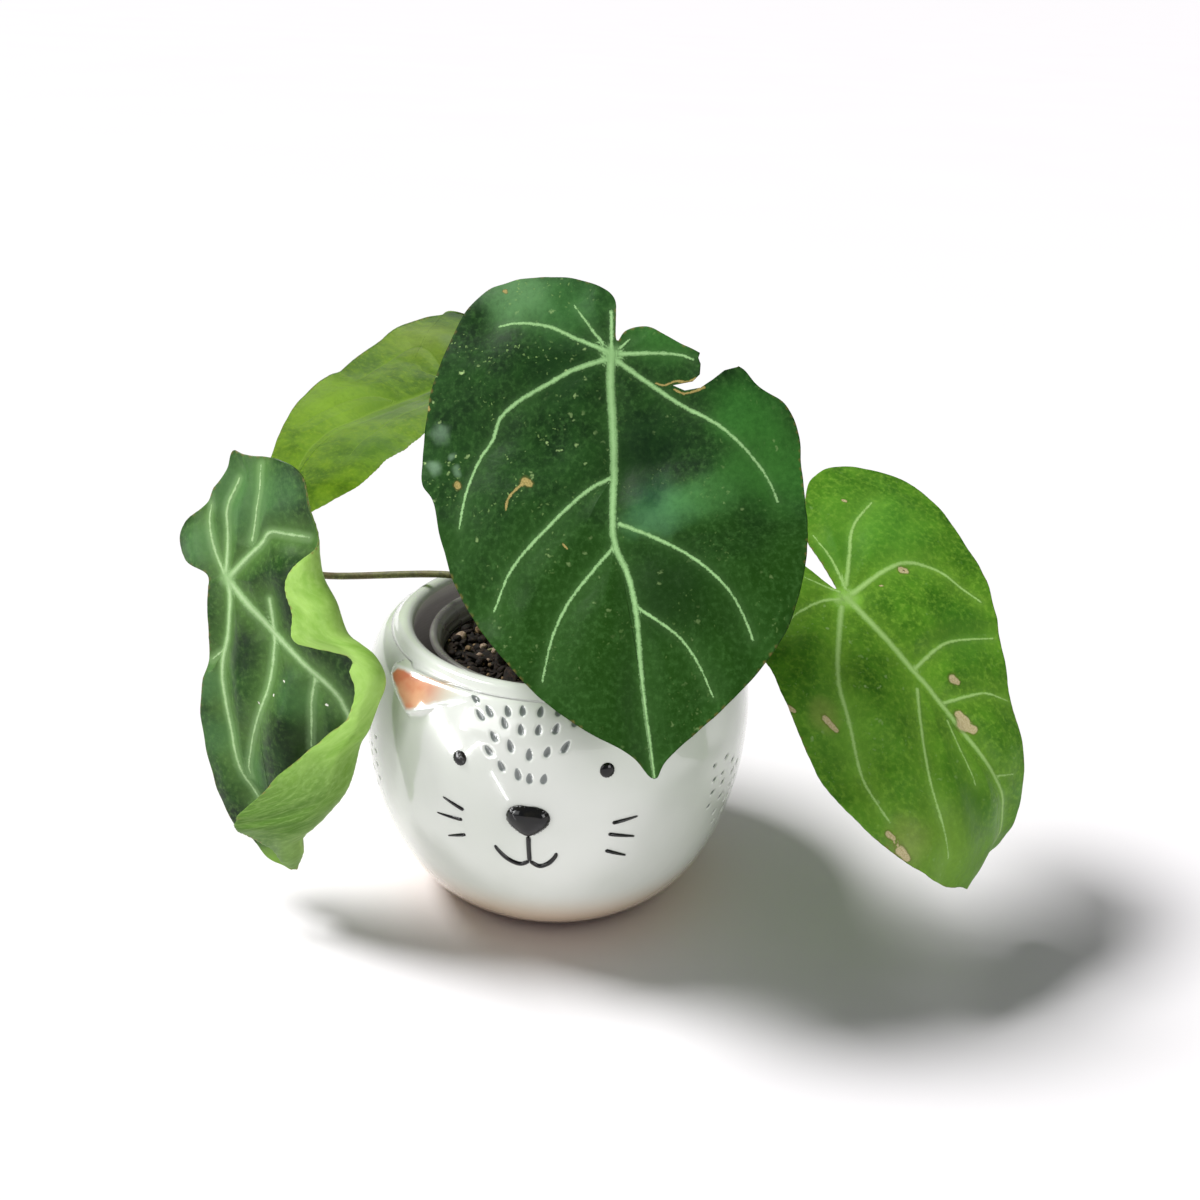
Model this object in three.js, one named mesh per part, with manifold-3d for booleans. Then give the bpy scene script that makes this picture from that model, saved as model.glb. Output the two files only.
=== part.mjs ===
// Potted anthurium hybrid: four heart-shaped leaves on long petioles, rooted in a
// chunky medium in a clear nursery pot, which stands inside a glazed round cachepot
// with a friendly animal face. Millimetres, +Z up, origin at the centre of the base,
// the face looking along -Y.

import * as THREE from 'three';
import { mergeVertices } from 'three/addons/utils/BufferGeometryUtils.js';
import { ConvexGeometry } from 'three/addons/geometries/ConvexGeometry.js';
import Module from 'manifold-3d';

// Cachepot
const potHeight = 90;
const bellyRadius = 60;
const bellyHeight = 61.5;
const baseRadius = 28;
const rimRadius = 50;
const lipThickness = 5.5;
const wallThickness = 5;
const potFloor = 6;
const potSides = 44;
const bellySteps = 11;
const shoulderSteps = 5;
const lipSteps = 5;
const innerSteps = 8;

// Face of the cachepot: angles are measured round the pot from the face's centre
const earAngle = 39;
const earRoot = -3;
const noseWidth = 13;
const noseHeight = 9.5;
const noseDepth = 3.4;
const noseZ = 54.5;
const noseTaper = 0.28;

// Clear nursery pot
const seatGap = 0.3;
const nurseryRimRadius = 40;
const nurseryBaseRadius = 23.5;
const nurseryHeight = 79;
const nurseryWall = 1.1;
const nurseryRimWidth = 2.2;
const nurseryRimDepth = 3;
const nurserySides = 40;
const nurserySteps = 9;
const nurseryBulge = 0.55;
const drainHoleRadius = 3;
const drainHoles = 5;
const drainCircle = 13;

// Growing medium
const mediumTop = 78.5;
const mediumSwell = 1.1;
const mediumShoulder = 2;
const mediumGap = 0.7;
const mediumSteps = 6;
const crumbRings = 5;
const chipCount = 34;
const chipSmall = 1.9;
const chipLarge = 3.9;
const chipSeed = 20;
const chipSink = 0.15;

// Stem and petioles
const stemRadius = 7.5;
const stemTop = 87;
const stemFoot = 58;
const stemSides = 20;
const petioleSteps = 26;
const petioleRadius = 1.3;
const kneeLength = 7;
const petioleSpread = 4.2;

// Leaves
const bladeThickness = 0.8;
const tearDepth = 24;
const petioleClearance = 0.9;

// A leaf is drawn flat on its own blade sheet: x runs from the petiole point towards the
// tip and y across, to the right when the upper face is seen with the tip down. The
// sheet is then laid over the midrib. faceStart and faceEnd are the directions that the
// upper face looks in at the petiole and at the tip.
const frontLeaf = {
  midrib: [[13.4, -8, 174.3], [15.9, -22, 154.3], [20, -41, 131.2], [27.4, -60, 108.3], [34.2, -76, 80.9]],
  faceStart: [0, -0.85, 0.52],
  faceEnd: [0, -0.85, 0.52],
  fold: 0.1,
  droop: 0.0035,
  lobeDroop: 0.006,
  rings: 7,
  outline: [
    [118, 0.5], [113, 5], [102, 21], [93, 32], [82, 42], [70, 48], [55, 51], [38, 51], [24, 50.5], [15, 47],
    [10, 40], [5, 36], [3, 30], [0, 24], [-4, 17], [-8, 10], [-7, 4], [-4, 1.5], [-10, 1], [-17, 1],
    [-21, -3], [-24, -11], [-25, -21], [-22, -34], [-15, -41], [-5, -46], [8, -50.5], [22, -53], [33, -53],
    [39, -50], [53, -47], [66, -42], [76, -37], [87, -31], [95, -25], [104, -15], [111, -5],
  ],
  tear: [[9.5, 12.5], [14, 22], [5, 31.5], [-4, 40], [-7, 27], [2, 24], [8, 24]],
};

const rightLeaf = {
  midrib: [[85.9, -3, 104.5], [101.8, -15, 93], [119.3, -25, 77.5], [132.7, -29, 60.1], [136.8, -25, 40.6],
    [131.5, -16, 16]],
  faceStart: [0.38, -0.7, 0.6],
  faceEnd: [0.8, -0.55, 0.25],
  fold: 0.12,
  droop: 0.004,
  lobeDroop: 0.004,
  rings: 7,
  outline: [
    [118, 0], [112, 5], [100, 7], [86, 7.5], [72, 12.5], [60, 19], [47, 27], [35, 35], [21, 43], [7, 47],
    [-8, 50], [-20, 50], [-30, 45], [-38, 37], [-40, 30], [-38, 21], [-32, 13], [-23, 5], [-10, 1.5], [-4, 0],
    [-8, -1], [-17, -3], [-27, -8], [-33, -17], [-32, -28], [-24, -36], [-12, -38], [2, -35], [15, -39],
    [25, -43], [36, -47], [46, -47], [57, -45], [69, -41], [79, -34], [92, -24], [105, -14], [113, -6],
  ],
};

const backLeaf = {
  midrib: [[-41.4, 45, 150], [-62.4, 55, 139.8], [-82.1, 65, 129.3], [-99.2, 74, 115.6], [-110.3, 80, 98.9],
    [-114, 82, 84.3]],
  faceStart: [-0.3, 0.75, 0.6],
  faceEnd: [-0.3, 0.75, 0.6],
  fold: 0.12,
  droop: 0.003,
  lobeDroop: 0.004,
  rings: 7,
  outline: [
    [112, -2], [106, 5], [94, 8], [80, 10], [58, 16], [36, 21], [15, 27], [-4, 32], [-20, 36], [-31, 34],
    [-35, 25], [-30, 14], [-22, 6], [-10, 2], [-5, 0], [-10, -2], [-22, -6], [-30, -14], [-32, -24],
    [-24, -33], [-8, -36], [6, -36], [22, -32], [36, -29], [50, -31], [63, -33], [74, -32], [86, -31],
    [98, -26], [108, -14],
  ],
};

// The right margin of this leaf is rolled forward over its upper face. rollLine gives, for
// places along the leaf, how far across the sheet the roll turns its outer side.
const leftLeaf = {
  midrib: [[-96.7, -21.5, 103.7], [-90.7, -28.8, 84.1], [-85.6, -34.7, 62.9], [-81.1, -38.6, 39.8],
    [-77.3, -40.6, 15.1]],
  faceStart: [-0.45, -0.8, 0.35],
  faceEnd: [-0.45, -0.8, 0.35],
  fold: 0,
  droop: 0.0015,
  lobeDroop: 0.002,
  rings: 14,
  outline: [
    [92, 1], [90.5, 4], [87.5, 10], [83, 20.5], [77.5, 35.5], [73.5, 47], [70, 56], [64, 63.5], [58, 66.5],
    [51.5, 62.5], [48.5, 63.5], [45, 64.5], [41, 61.5], [35.5, 65.5], [30.5, 66.5], [24.5, 55],
    [23.5, 67.5], [15, 61.5], [9.5, 57.5], [2, 52], [-4, 35.5], [-12, 39],
    [-17.5, 39], [-25.5, 34], [-30, 27], [-33.5, 16],
    [-35.5, 12], [-30.5, 8], [-24, -0.5], [-19.5, -10.5], [-14, -15], [-8, -14], [-2, -6.5], [6.5, -9],
    [18.5, -13], [38, -21.5], [48.5, -23], [64, -22.5], [78.5, -17.5], [83, -9.5], [89, -6.5], [91.5, -2],
  ],
  rollLine: [[-6, 41], [1, 42.5], [7.5, 42.5], [14, 45], [20.5, 46.5], [23.5, 51], [30, 57], [33, 57.5],
    [39, 52.5], [46, 48.5], [51, 41], [61, 36], [69, 24.5], [76, 13.5], [82, 9.5], [88.5, 7], [92, 4]],
  rollRadius: [[0, 4.4], [74, 4.9], [92, 1]],
  rollAngle: 3.1,
};

const wasm = await Module();
wasm.setup();

function weld(geometry) {
  geometry.deleteAttribute('normal');
  geometry.deleteAttribute('uv');
  const merged = mergeVertices(geometry, 1e-4);
  const index = merged.index.array;
  const kept = [];
  for (let i = 0; i < index.length; i += 3) {
    const [a, b, c] = [index[i], index[i + 1], index[i + 2]];
    if (a !== b && b !== c && c !== a) kept.push(a, b, c);
  }
  merged.setIndex(kept);
  return merged;
}

function toSolid(geometry) {
  const merged = weld(geometry.clone());
  return new wasm.Manifold(new wasm.Mesh({
    numProp: 3,
    vertProperties: new Float32Array(merged.attributes.position.array),
    triVerts: new Uint32Array(merged.index.array),
  }));
}

function toGeometry(solid) {
  const mesh = solid.getMesh();
  const geometry = new THREE.BufferGeometry();
  geometry.setAttribute('position', new THREE.BufferAttribute(mesh.vertProperties, 3));
  geometry.setIndex(new THREE.BufferAttribute(mesh.triVerts, 1));
  return geometry;
}

function fuse(geometries) {
  return toGeometry(geometries.map(toSolid).reduce((sum, next) => sum.add(next)));
}

function cut(geometry, tools) {
  return toGeometry(tools.map(toSolid).reduce((rest, tool) => rest.subtract(tool), toSolid(geometry)));
}

function seededRandom(seed) {
  let state = seed;
  return () => {
    state = (state * 1664525 + 1013904223) % 4294967296;
    return state / 4294967296;
  };
}

function turned(profile, sides) {
  const points = profile.map(([r, z]) => new THREE.Vector2(r, z));
  return new THREE.LatheGeometry(points, sides).rotateX(Math.PI / 2);
}

// A value between the pairs [place, value] of a short list
function between(pairs, place) {
  if (place <= pairs[0][0]) return pairs[0][1];
  for (let i = 1; i < pairs.length; i += 1) {
    const [start, from] = pairs[i - 1];
    const [end, to] = pairs[i];
    if (place <= end) return from + (to - from) * (place - start) / (end - start);
  }
  return pairs[pairs.length - 1][1];
}

// The pot's outer radius at a height, on the lower and the upper quarter ellipse
function potRadius(z) {
  if (z < bellyHeight) {
    const drop = 1 - z / bellyHeight;
    return baseRadius + (bellyRadius - baseRadius) * Math.sqrt(1 - drop * drop);
  }
  const rise = Math.min(1, (z - bellyHeight) / (potHeight - bellyHeight));
  return rimRadius + (bellyRadius - rimRadius) * Math.sqrt(1 - rise * rise);
}

function onPot(angle, z, out) {
  const turn = THREE.MathUtils.degToRad(angle);
  const radius = potRadius(z) + out;
  return new THREE.Vector3(radius * Math.sin(turn), -radius * Math.cos(turn), z);
}

function cachepotShell() {
  const profile = [[0, 0]];
  for (let i = 0; i <= bellySteps; i += 1) {
    const turn = (i / bellySteps) * Math.PI / 2;
    const radius = baseRadius + (bellyRadius - baseRadius) * Math.sin(turn);
    profile.push([radius, bellyHeight * (1 - Math.cos(turn))]);
  }
  const lipRadius = lipThickness / 2;
  const lipCentre = rimRadius - lipRadius;
  const lipZ = potHeight - lipRadius;
  for (let i = 1; i <= shoulderSteps; i += 1) {
    const turn = (i / shoulderSteps) * Math.PI / 2;
    profile.push([
      rimRadius + (bellyRadius - rimRadius) * Math.cos(turn),
      bellyHeight + (lipZ - bellyHeight) * Math.sin(turn),
    ]);
  }
  for (let i = 1; i <= lipSteps; i += 1) {
    const turn = (i / lipSteps) * Math.PI;
    profile.push([lipCentre + lipRadius * Math.cos(turn), lipZ + lipRadius * Math.sin(turn)]);
  }
  const innerBelly = bellyRadius - wallThickness;
  const innerRim = rimRadius - lipThickness;
  const innerBase = baseRadius - wallThickness / 2;
  for (let i = shoulderSteps - 1; i >= 0; i -= 1) {
    const turn = (i / shoulderSteps) * Math.PI / 2;
    profile.push([
      innerRim + (innerBelly - innerRim) * Math.cos(turn),
      bellyHeight + (lipZ - wallThickness - bellyHeight) * Math.sin(turn),
    ]);
  }
  for (let i = innerSteps - 1; i >= 0; i -= 1) {
    const turn = (i / innerSteps) * Math.PI / 2;
    profile.push([
      innerBase + (innerBelly - innerBase) * Math.sin(turn),
      potFloor + (bellyHeight - potFloor) * (1 - Math.cos(turn)),
    ]);
  }
  profile.push([0, potFloor]);
  return turned(profile, potSides);
}

// An ear is a pointed fold that stands out of the shoulder: its outer corner is sharp and
// it runs out into the rim towards the middle of the face.
function ear(side) {
  const corner = side * earAngle;
  const points = [
    onPot(corner + side * 12, 84.5, 5.5),
    onPot(corner + side * 8, 87, 4.5),
    onPot(corner, 88.5, 3.5),
    onPot(corner - side * 8, 89, 1),
    onPot(corner - side * 14, 88.5, 0.2),
    onPot(corner + side * 6, 77, 0.4),
    onPot(corner + side * 3, 80, 2.4),
    onPot(corner - side * 6, 84, 1.6),
    onPot(corner + side * 11, 80, earRoot),
    onPot(corner + side * 13, 86, earRoot),
    onPot(corner, 84, earRoot),
    onPot(corner - side * 13, 86, earRoot),
  ];
  return new ConvexGeometry(points);
}

function nose() {
  const shape = new THREE.SphereGeometry(1, 18, 12);
  const place = shape.attributes.position;
  for (let i = 0; i < place.count; i += 1) {
    const up = place.getY(i);
    const halfWidth = (1 + noseTaper * up) * noseWidth / (2 + noseTaper);
    place.setXYZ(i, place.getX(i) * halfWidth, place.getZ(i) * noseDepth, up * noseHeight / 2);
  }
  shape.index.array.reverse();
  return shape.translate(0, -potRadius(noseZ), noseZ);
}

function makeCachepot() {
  return fuse([cachepotShell(), ear(-1), ear(1), nose()]);
}

// The nursery pot's outer radius at a height above its own base
function nurseryRadius(up) {
  const top = nurseryRimRadius - nurseryRimWidth;
  return nurseryBaseRadius + (top - nurseryBaseRadius) * (up / nurseryHeight) ** nurseryBulge;
}

function makeNurseryPot() {
  const base = potFloor + seatGap;
  const profile = [[0, base]];
  for (let i = 0; i <= nurserySteps; i += 1) {
    const up = (i / nurserySteps) * (nurseryHeight - nurseryRimDepth);
    profile.push([nurseryRadius(up), base + up]);
  }
  profile.push([nurseryRimRadius, base + nurseryHeight - nurseryRimDepth]);
  profile.push([nurseryRimRadius, base + nurseryHeight]);
  for (let i = nurserySteps; i >= 0; i -= 1) {
    const up = nurseryWall + (i / nurserySteps) * (nurseryHeight - nurseryWall);
    profile.push([nurseryRadius(up) - nurseryWall, base + up]);
  }
  profile.push([0, base + nurseryWall]);
  const holes = [];
  for (let i = 0; i < drainHoles; i += 1) {
    const turn = (i / drainHoles) * Math.PI * 2;
    const hole = new THREE.CylinderGeometry(drainHoleRadius, drainHoleRadius, 6 * nurseryWall, 12);
    hole.rotateX(Math.PI / 2);
    holes.push(hole.translate(drainCircle * Math.cos(turn), drainCircle * Math.sin(turn), base));
  }
  return cut(turned(profile, nurserySides), holes);
}

function mediumHeight(x, y) {
  const lumps = Math.sin(x * 0.21 + 1) * Math.cos(y * 0.19) + 0.6 * Math.sin(x * 0.37 - y * 0.31);
  return mediumTop + mediumSwell * lumps;
}

// The medium fills the nursery pot. Its top is an uneven crumb with bark and pumice lumps
// pressed into it, and it has a plain hole for the stem.
function makeMedium() {
  const base = potFloor + seatGap;
  const floor = base + nurseryWall + seatGap;
  const profile = [[0, floor]];
  for (let i = 0; i <= mediumSteps; i += 1) {
    const z = floor + (i / mediumSteps) * (mediumTop - mediumShoulder - floor);
    profile.push([nurseryRadius(z - base) - nurseryWall - mediumGap, z]);
  }
  const edge = nurseryRadius(mediumTop - base) - nurseryWall - mediumGap;
  for (let i = crumbRings - 1; i >= 0; i -= 1) profile.push([edge * i / crumbRings, mediumTop]);
  const body = turned(profile, nurserySides);
  const place = body.attributes.position;
  for (let i = 0; i < place.count; i += 1) {
    if (place.getZ(i) > mediumTop - 0.01) place.setZ(i, mediumHeight(place.getX(i), place.getY(i)));
  }
  const random = seededRandom(chipSeed);
  const chips = [];
  for (let i = 0; i < chipCount; i += 1) {
    const size = chipSmall + (chipLarge - chipSmall) * random() ** 2;
    const turn = random() * Math.PI * 2;
    const out = stemRadius + size + 1 + (edge - stemRadius - 2 * size - 2) * Math.sqrt(random());
    const [x, y] = [out * Math.cos(turn), out * Math.sin(turn)];
    const chip = new THREE.IcosahedronGeometry(size, 0);
    chip.scale(1, 0.6 + 0.4 * random(), 0.5 + 0.4 * random());
    chip.rotateZ(random() * Math.PI).rotateX((random() - 0.5) * 0.8);
    chips.push(chip.translate(x, y, mediumHeight(x, y) - size * chipSink));
  }
  const boreDepth = stemTop - stemFoot;
  const bore = new THREE.CylinderGeometry(stemRadius + seatGap, stemRadius + seatGap, boreDepth, stemSides);
  bore.rotateX(Math.PI / 2).translate(0, 0, stemFoot - seatGap + boreDepth / 2);
  return cut(fuse([body, ...chips]), [bore]);
}

function makeStem() {
  return turned([
    [0, stemFoot], [stemRadius * 0.7, stemFoot], [stemRadius - 0.6, stemFoot + 4],
    [stemRadius, stemFoot + 10], [stemRadius, stemTop - 8], [stemRadius - 0.7, stemTop - 6],
    [stemRadius - 0.3, stemTop - 3.5], [stemRadius - 0.8, stemTop], [0, stemTop],
  ], stemSides);
}

function vector(list) {
  return new THREE.Vector3(...list);
}

// Lays a leaf's flat sheet over its midrib. place(x, y) is a point of the blade's middle
// surface, and axes(x) the directions along, across and up at a place on the midrib.
function bladeSurface(leaf) {
  const rib = new THREE.CatmullRomCurve3(leaf.midrib.map(vector), false, 'catmullrom', 0.5);
  const length = rib.getLength();
  function axes(x) {
    const part = THREE.MathUtils.clamp(x / length, 0, 1);
    const along = rib.getTangentAt(part);
    const up = vector(leaf.faceStart).lerp(vector(leaf.faceEnd), part);
    up.addScaledVector(along, -up.dot(along)).normalize();
    const across = up.clone().cross(along);
    const point = rib.getPointAt(part).addScaledVector(along, x - part * length);
    return { point, along, across, up };
  }
  function section(x, y) {
    const flat = leaf.fold * Math.abs(y) - leaf.droop * y * y - leaf.lobeDroop * Math.min(x, 0) ** 2;
    if (!leaf.rollLine) return [y, flat];
    const radius = between(leaf.rollRadius, x);
    const start = between(leaf.rollLine, x) - radius;
    if (y <= start) return [y, flat];
    const turn = Math.min((y - start) / radius, leaf.rollAngle);
    const rest = y - start - turn * radius;
    const level = leaf.fold * start - leaf.droop * start * start - leaf.lobeDroop * Math.min(x, 0) ** 2;
    return [
      start + radius * Math.sin(turn) + rest * Math.cos(turn),
      level + radius * (1 - Math.cos(turn)) + rest * Math.sin(turn),
    ];
  }
  function place(x, y) {
    const { point, across, up } = axes(x);
    const [side, height] = section(x, y);
    return point.addScaledVector(across, side).addScaledVector(up, height);
  }
  function upAt(x, y) {
    const reach = 0.4;
    const along = place(x + reach, y).sub(place(x - reach, y));
    const across = place(x, y + reach).sub(place(x, y - reach));
    return along.cross(across).normalize();
  }
  return { place, upAt, axes };
}

// The blade is a fan of rings round the petiole point, alike on both faces, closed by a
// thin edge.
function bladeGeometry(leaf) {
  const { place, upAt } = bladeSurface(leaf);
  const count = leaf.outline.length;
  const { rings } = leaf;
  const positions = [];
  for (const half of [bladeThickness / 2, -bladeThickness / 2]) {
    positions.push(...place(0, 0).addScaledVector(upAt(0, 0), half).toArray());
    for (let ring = 1; ring <= rings; ring += 1) {
      for (const [edgeX, edgeY] of leaf.outline) {
        const [x, y] = [edgeX * ring / rings, edgeY * ring / rings];
        positions.push(...place(x, y).addScaledVector(upAt(x, y), half).toArray());
      }
    }
  }
  const face = 1 + rings * count;
  const at = (ring, i) => (ring === 0 ? 0 : 1 + (ring - 1) * count + (i % count));
  const index = [];
  const add = (a, b, c) => {
    index.push(a, b, c);
    index.push(face + a, face + c, face + b);
  };
  for (let i = 0; i < count; i += 1) {
    add(0, at(1, i), at(1, i + 1));
    for (let ring = 1; ring < rings; ring += 1) {
      add(at(ring, i), at(ring + 1, i), at(ring + 1, i + 1));
      add(at(ring, i), at(ring + 1, i + 1), at(ring, i + 1));
    }
    const [a, b] = [at(rings, i), at(rings, i + 1)];
    index.push(a, face + a, face + b);
    index.push(a, face + b, b);
  }
  const geometry = new THREE.BufferGeometry();
  geometry.setAttribute('position', new THREE.Float32BufferAttribute(positions, 3));
  geometry.setIndex(index);
  return geometry;
}

function makeLeaf(leaf) {
  const blade = bladeGeometry(leaf);
  if (!leaf.tear) return blade;
  const { axes } = bladeSurface(leaf);
  const { point, along, across, up } = axes(0);
  const wedge = new THREE.Shape(leaf.tear.map(([x, y]) => new THREE.Vector2(x, y)));
  const tool = new THREE.ExtrudeGeometry(wedge, { depth: tearDepth, bevelEnabled: false });
  tool.translate(0, 0, -tearDepth / 2);
  tool.applyMatrix4(new THREE.Matrix4().makeBasis(along, across, up).setPosition(point));
  return cut(blade, [tool]);
}

// A petiole rises from the stem's top, follows its own way, and meets the blade square on
// its underside, with the swollen knee that turns the leaf.
function makePetiole(leaf, startAngle, way) {
  const { point, up } = bladeSurface(leaf).axes(0);
  const turn = THREE.MathUtils.degToRad(startAngle);
  const [x, y] = [petioleSpread * Math.cos(turn), petioleSpread * Math.sin(turn)];
  const path = new THREE.CatmullRomCurve3([
    new THREE.Vector3(x, y, stemTop + seatGap),
    new THREE.Vector3(x * 1.1, y * 1.1, stemTop + 4),
    ...way.map(vector),
    point.clone().addScaledVector(up, -kneeLength),
    point.clone().addScaledVector(up, -petioleClearance),
  ], false, 'catmullrom', 0.5);
  const circle = new THREE.Shape().absarc(0, 0, petioleRadius, 0, Math.PI * 2);
  return new THREE.ExtrudeGeometry(circle, {
    steps: petioleSteps,
    curveSegments: 4,
    extrudePath: path,
    bevelEnabled: false,
  });
}

function node(name, geometry, colour, roughness) {
  const mesh = new THREE.Mesh(
    geometry.index ? weld(geometry) : weld(mergeVertices(geometry)),
    new THREE.MeshStandardMaterial({ color: colour, roughness, metalness: 0 }),
  );
  mesh.name = name;
  return mesh;
}

const clearPlastic = node('nursery_pot', makeNurseryPot(), 0xd5d8d6, 0.15);
clearPlastic.material.transparent = true;
clearPlastic.material.opacity = 0.35;

const frontPetiole = makePetiole(frontLeaf, -60, [[5, 4, 118], [9, 6, 148]]);
const rightPetiole = makePetiole(rightLeaf, 0, [[16, 2, 98], [42, 8, 105], [70, 9, 101]]);
const leftPetiole = makePetiole(leftLeaf, 150, [[-18, 8, 93.5], [-38, 14, 94.5], [-76, 14, 91], [-91, 4, 97]]);
const backPetiole = makePetiole(backLeaf, 90, [[-9, 14, 112], [-27, 29, 138]]);

const plant = new THREE.Group();
plant.add(
  node('stem', makeStem(), 0x6b5a33, 0.7),
  node('petiole_front', frontPetiole, 0x6f7f3a, 0.5),
  node('petiole_right', rightPetiole, 0x6f7f3a, 0.5),
  node('petiole_left', leftPetiole, 0x62683a, 0.5),
  node('petiole_back', backPetiole, 0x6f7f3a, 0.5),
  node('leaf_front', makeLeaf(frontLeaf), 0x2a5a2c, 0.35),
  node('leaf_right', makeLeaf(rightLeaf), 0x4f8a30, 0.4),
  node('leaf_left', makeLeaf(leftLeaf), 0x2f5f36, 0.35),
  node('leaf_back', makeLeaf(backLeaf), 0x7ea634, 0.45),
);

const holder = new THREE.Group();
holder.add(
  node('cachepot', makeCachepot(), 0xe4e6e0, 0.12),
  clearPlastic,
  node('growing_medium', makeMedium(), 0x2b211a, 0.95),
);

const pottedAnthurium = new THREE.Group();
pottedAnthurium.add(holder, plant);

export default pottedAnthurium;
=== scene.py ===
import math
import random

import bmesh
import bpy
import numpy as np
from mathutils import Matrix, Vector, noise


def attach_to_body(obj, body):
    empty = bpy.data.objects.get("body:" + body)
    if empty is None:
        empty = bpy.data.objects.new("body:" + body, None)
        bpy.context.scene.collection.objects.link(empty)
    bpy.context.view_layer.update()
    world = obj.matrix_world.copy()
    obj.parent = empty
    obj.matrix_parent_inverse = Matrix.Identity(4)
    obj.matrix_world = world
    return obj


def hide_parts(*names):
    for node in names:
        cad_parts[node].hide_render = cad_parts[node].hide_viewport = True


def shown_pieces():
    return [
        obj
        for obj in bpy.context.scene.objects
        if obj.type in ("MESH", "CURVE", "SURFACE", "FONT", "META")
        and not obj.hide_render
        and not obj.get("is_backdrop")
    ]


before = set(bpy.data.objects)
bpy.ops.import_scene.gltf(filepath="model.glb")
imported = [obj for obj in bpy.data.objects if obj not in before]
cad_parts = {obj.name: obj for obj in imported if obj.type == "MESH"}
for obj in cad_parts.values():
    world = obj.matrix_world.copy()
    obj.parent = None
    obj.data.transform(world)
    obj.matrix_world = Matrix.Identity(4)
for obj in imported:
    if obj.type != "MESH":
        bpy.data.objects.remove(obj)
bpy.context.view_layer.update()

MM = 0.001


# Finishes

def tone(code):
    """A colour code as the linear colour that shaders take."""
    parts = [int(code[i:i + 2], 16) / 255 for i in (1, 3, 5)]
    return tuple(p / 12.92 if p <= 0.04045 else ((p + 0.055) / 1.055) ** 2.4 for p in parts) + (1.0,)


class Signal:
    """A node's output that Python's own arithmetic works on."""

    def __init__(self, finish, socket):
        self.finish, self.socket = finish, socket

    def sum(self, kind, *values):
        return self.finish.add("ShaderNodeMath", {"operation": kind}, dict(enumerate(values)))

    def __add__(self, other): return self.sum("ADD", self, other)
    def __sub__(self, other): return self.sum("SUBTRACT", self, other)
    def __mul__(self, other): return self.sum("MULTIPLY", self, other)
    def __truediv__(self, other): return self.sum("DIVIDE", self, other)
    def __pow__(self, other): return self.sum("POWER", self, other)
    def __rsub__(self, other): return self.sum("SUBTRACT", other, self)
    __radd__ = __add__
    __rmul__ = __mul__

    def sine(self): return self.sum("SINE", self)
    def least(self, other): return self.sum("MINIMUM", self, other)
    def most(self, other): return self.sum("MAXIMUM", self, other)

    def step(self, start, end):
        """0 at start, 1 at end, and smooth between them."""
        return self.finish.add("ShaderNodeMapRange", {"interpolation_type": "SMOOTHSTEP"},
                               {"Value": self, "From Min": start, "From Max": end})


class Finish:
    """A node material on a Principled shader."""

    def __init__(self, name, **settings):
        self.material = bpy.data.materials.new(name)
        self.material.use_nodes = True
        self.tree = self.material.node_tree
        self.shader = self.tree.nodes["Principled BSDF"]
        for key, value in settings.items():
            self.shader.inputs[key.replace("_", " ")].default_value = value
        self.place = self.add("ShaderNodeTexCoord", output="Object")

    def add(self, kind, settings=None, inputs=None, output=0):
        node = self.tree.nodes.new(kind)
        for key, value in (settings or {}).items():
            setattr(node, key, value)
        for key, value in (inputs or {}).items():
            if isinstance(value, Signal):
                self.tree.links.new(value.socket, node.inputs[key])
            else:
                node.inputs[key].default_value = value
        return Signal(self, node.outputs[output])

    def mix(self, share, first, second):
        """Two colours or colour codes, mixed by a share from 0 to 1."""
        first, second = (tone(c) if isinstance(c, str) else c for c in (first, second))
        return self.add("ShaderNodeMix", {"data_type": "RGBA"}, {0: share, 6: first, 7: second}, 2)

    def noise(self, scale, detail=3.0, where=None, rough=0.5, warp=0.0):
        return self.add("ShaderNodeTexNoise", None, {"Vector": where or self.place, "Scale": scale,
                                                     "Detail": detail, "Roughness": rough,
                                                     "Distortion": warp})

    def cells(self, scale, where=None, feature="F1"):
        inputs = {"Vector": where or self.place, "Scale": scale}
        return self.add("ShaderNodeTexVoronoi", {"feature": feature}, inputs, "Distance")

    def split(self, vector):
        node = self.add("ShaderNodeSeparateXYZ", None, {0: vector}).socket.node
        return [Signal(self, socket) for socket in node.outputs]

    def data(self, name, output="Vector"):
        return self.add("ShaderNodeAttribute", {"attribute_name": name}, None, output)

    def shift(self, vector, amount, kind="ADD"):
        """A vector moved, or turned into another one, by Vector Math."""
        return self.add("ShaderNodeVectorMath", {"operation": kind}, {0: vector, 1: amount})

    def warp(self, vector, scale, reach):
        """The coordinates shaken by a noise, so that a pattern's lines wander."""
        wander = self.add("ShaderNodeTexNoise", None, {"Vector": vector, "Scale": scale, "Detail": 2.0}, 1)
        centred = self.shift(wander, (0.5, 0.5, 0.5), "SUBTRACT")
        return self.shift(vector, self.shift(centred, (reach, reach, reach), "MULTIPLY"))

    def near(self, where, point, radius, soft=0.7):
        """1 inside a round spot, 0 outside it."""
        gap = self.add("ShaderNodeVectorMath", {"operation": "DISTANCE"}, {0: where, 1: point}, 1)
        return gap.step(radius * (1 + soft), radius * (1 - soft))

    def link(self, name, value):
        self.tree.links.new(value.socket, self.shader.inputs[name])

    def wear(self, colour, rough, relief, depth, strength):
        """The colour, the roughness and a fine relief that many millimetres deep."""
        self.link("Base Color", colour)
        self.link("Roughness", rough)
        self.link("Normal", self.add("ShaderNodeBump", None, {"Height": relief, "Distance": depth * MM,
                                                              "Strength": strength}))


# Shapes

SEAM, POLE = 1e-5, 1e-4  # points closer than this are one, at a seam and on an axis


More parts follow.
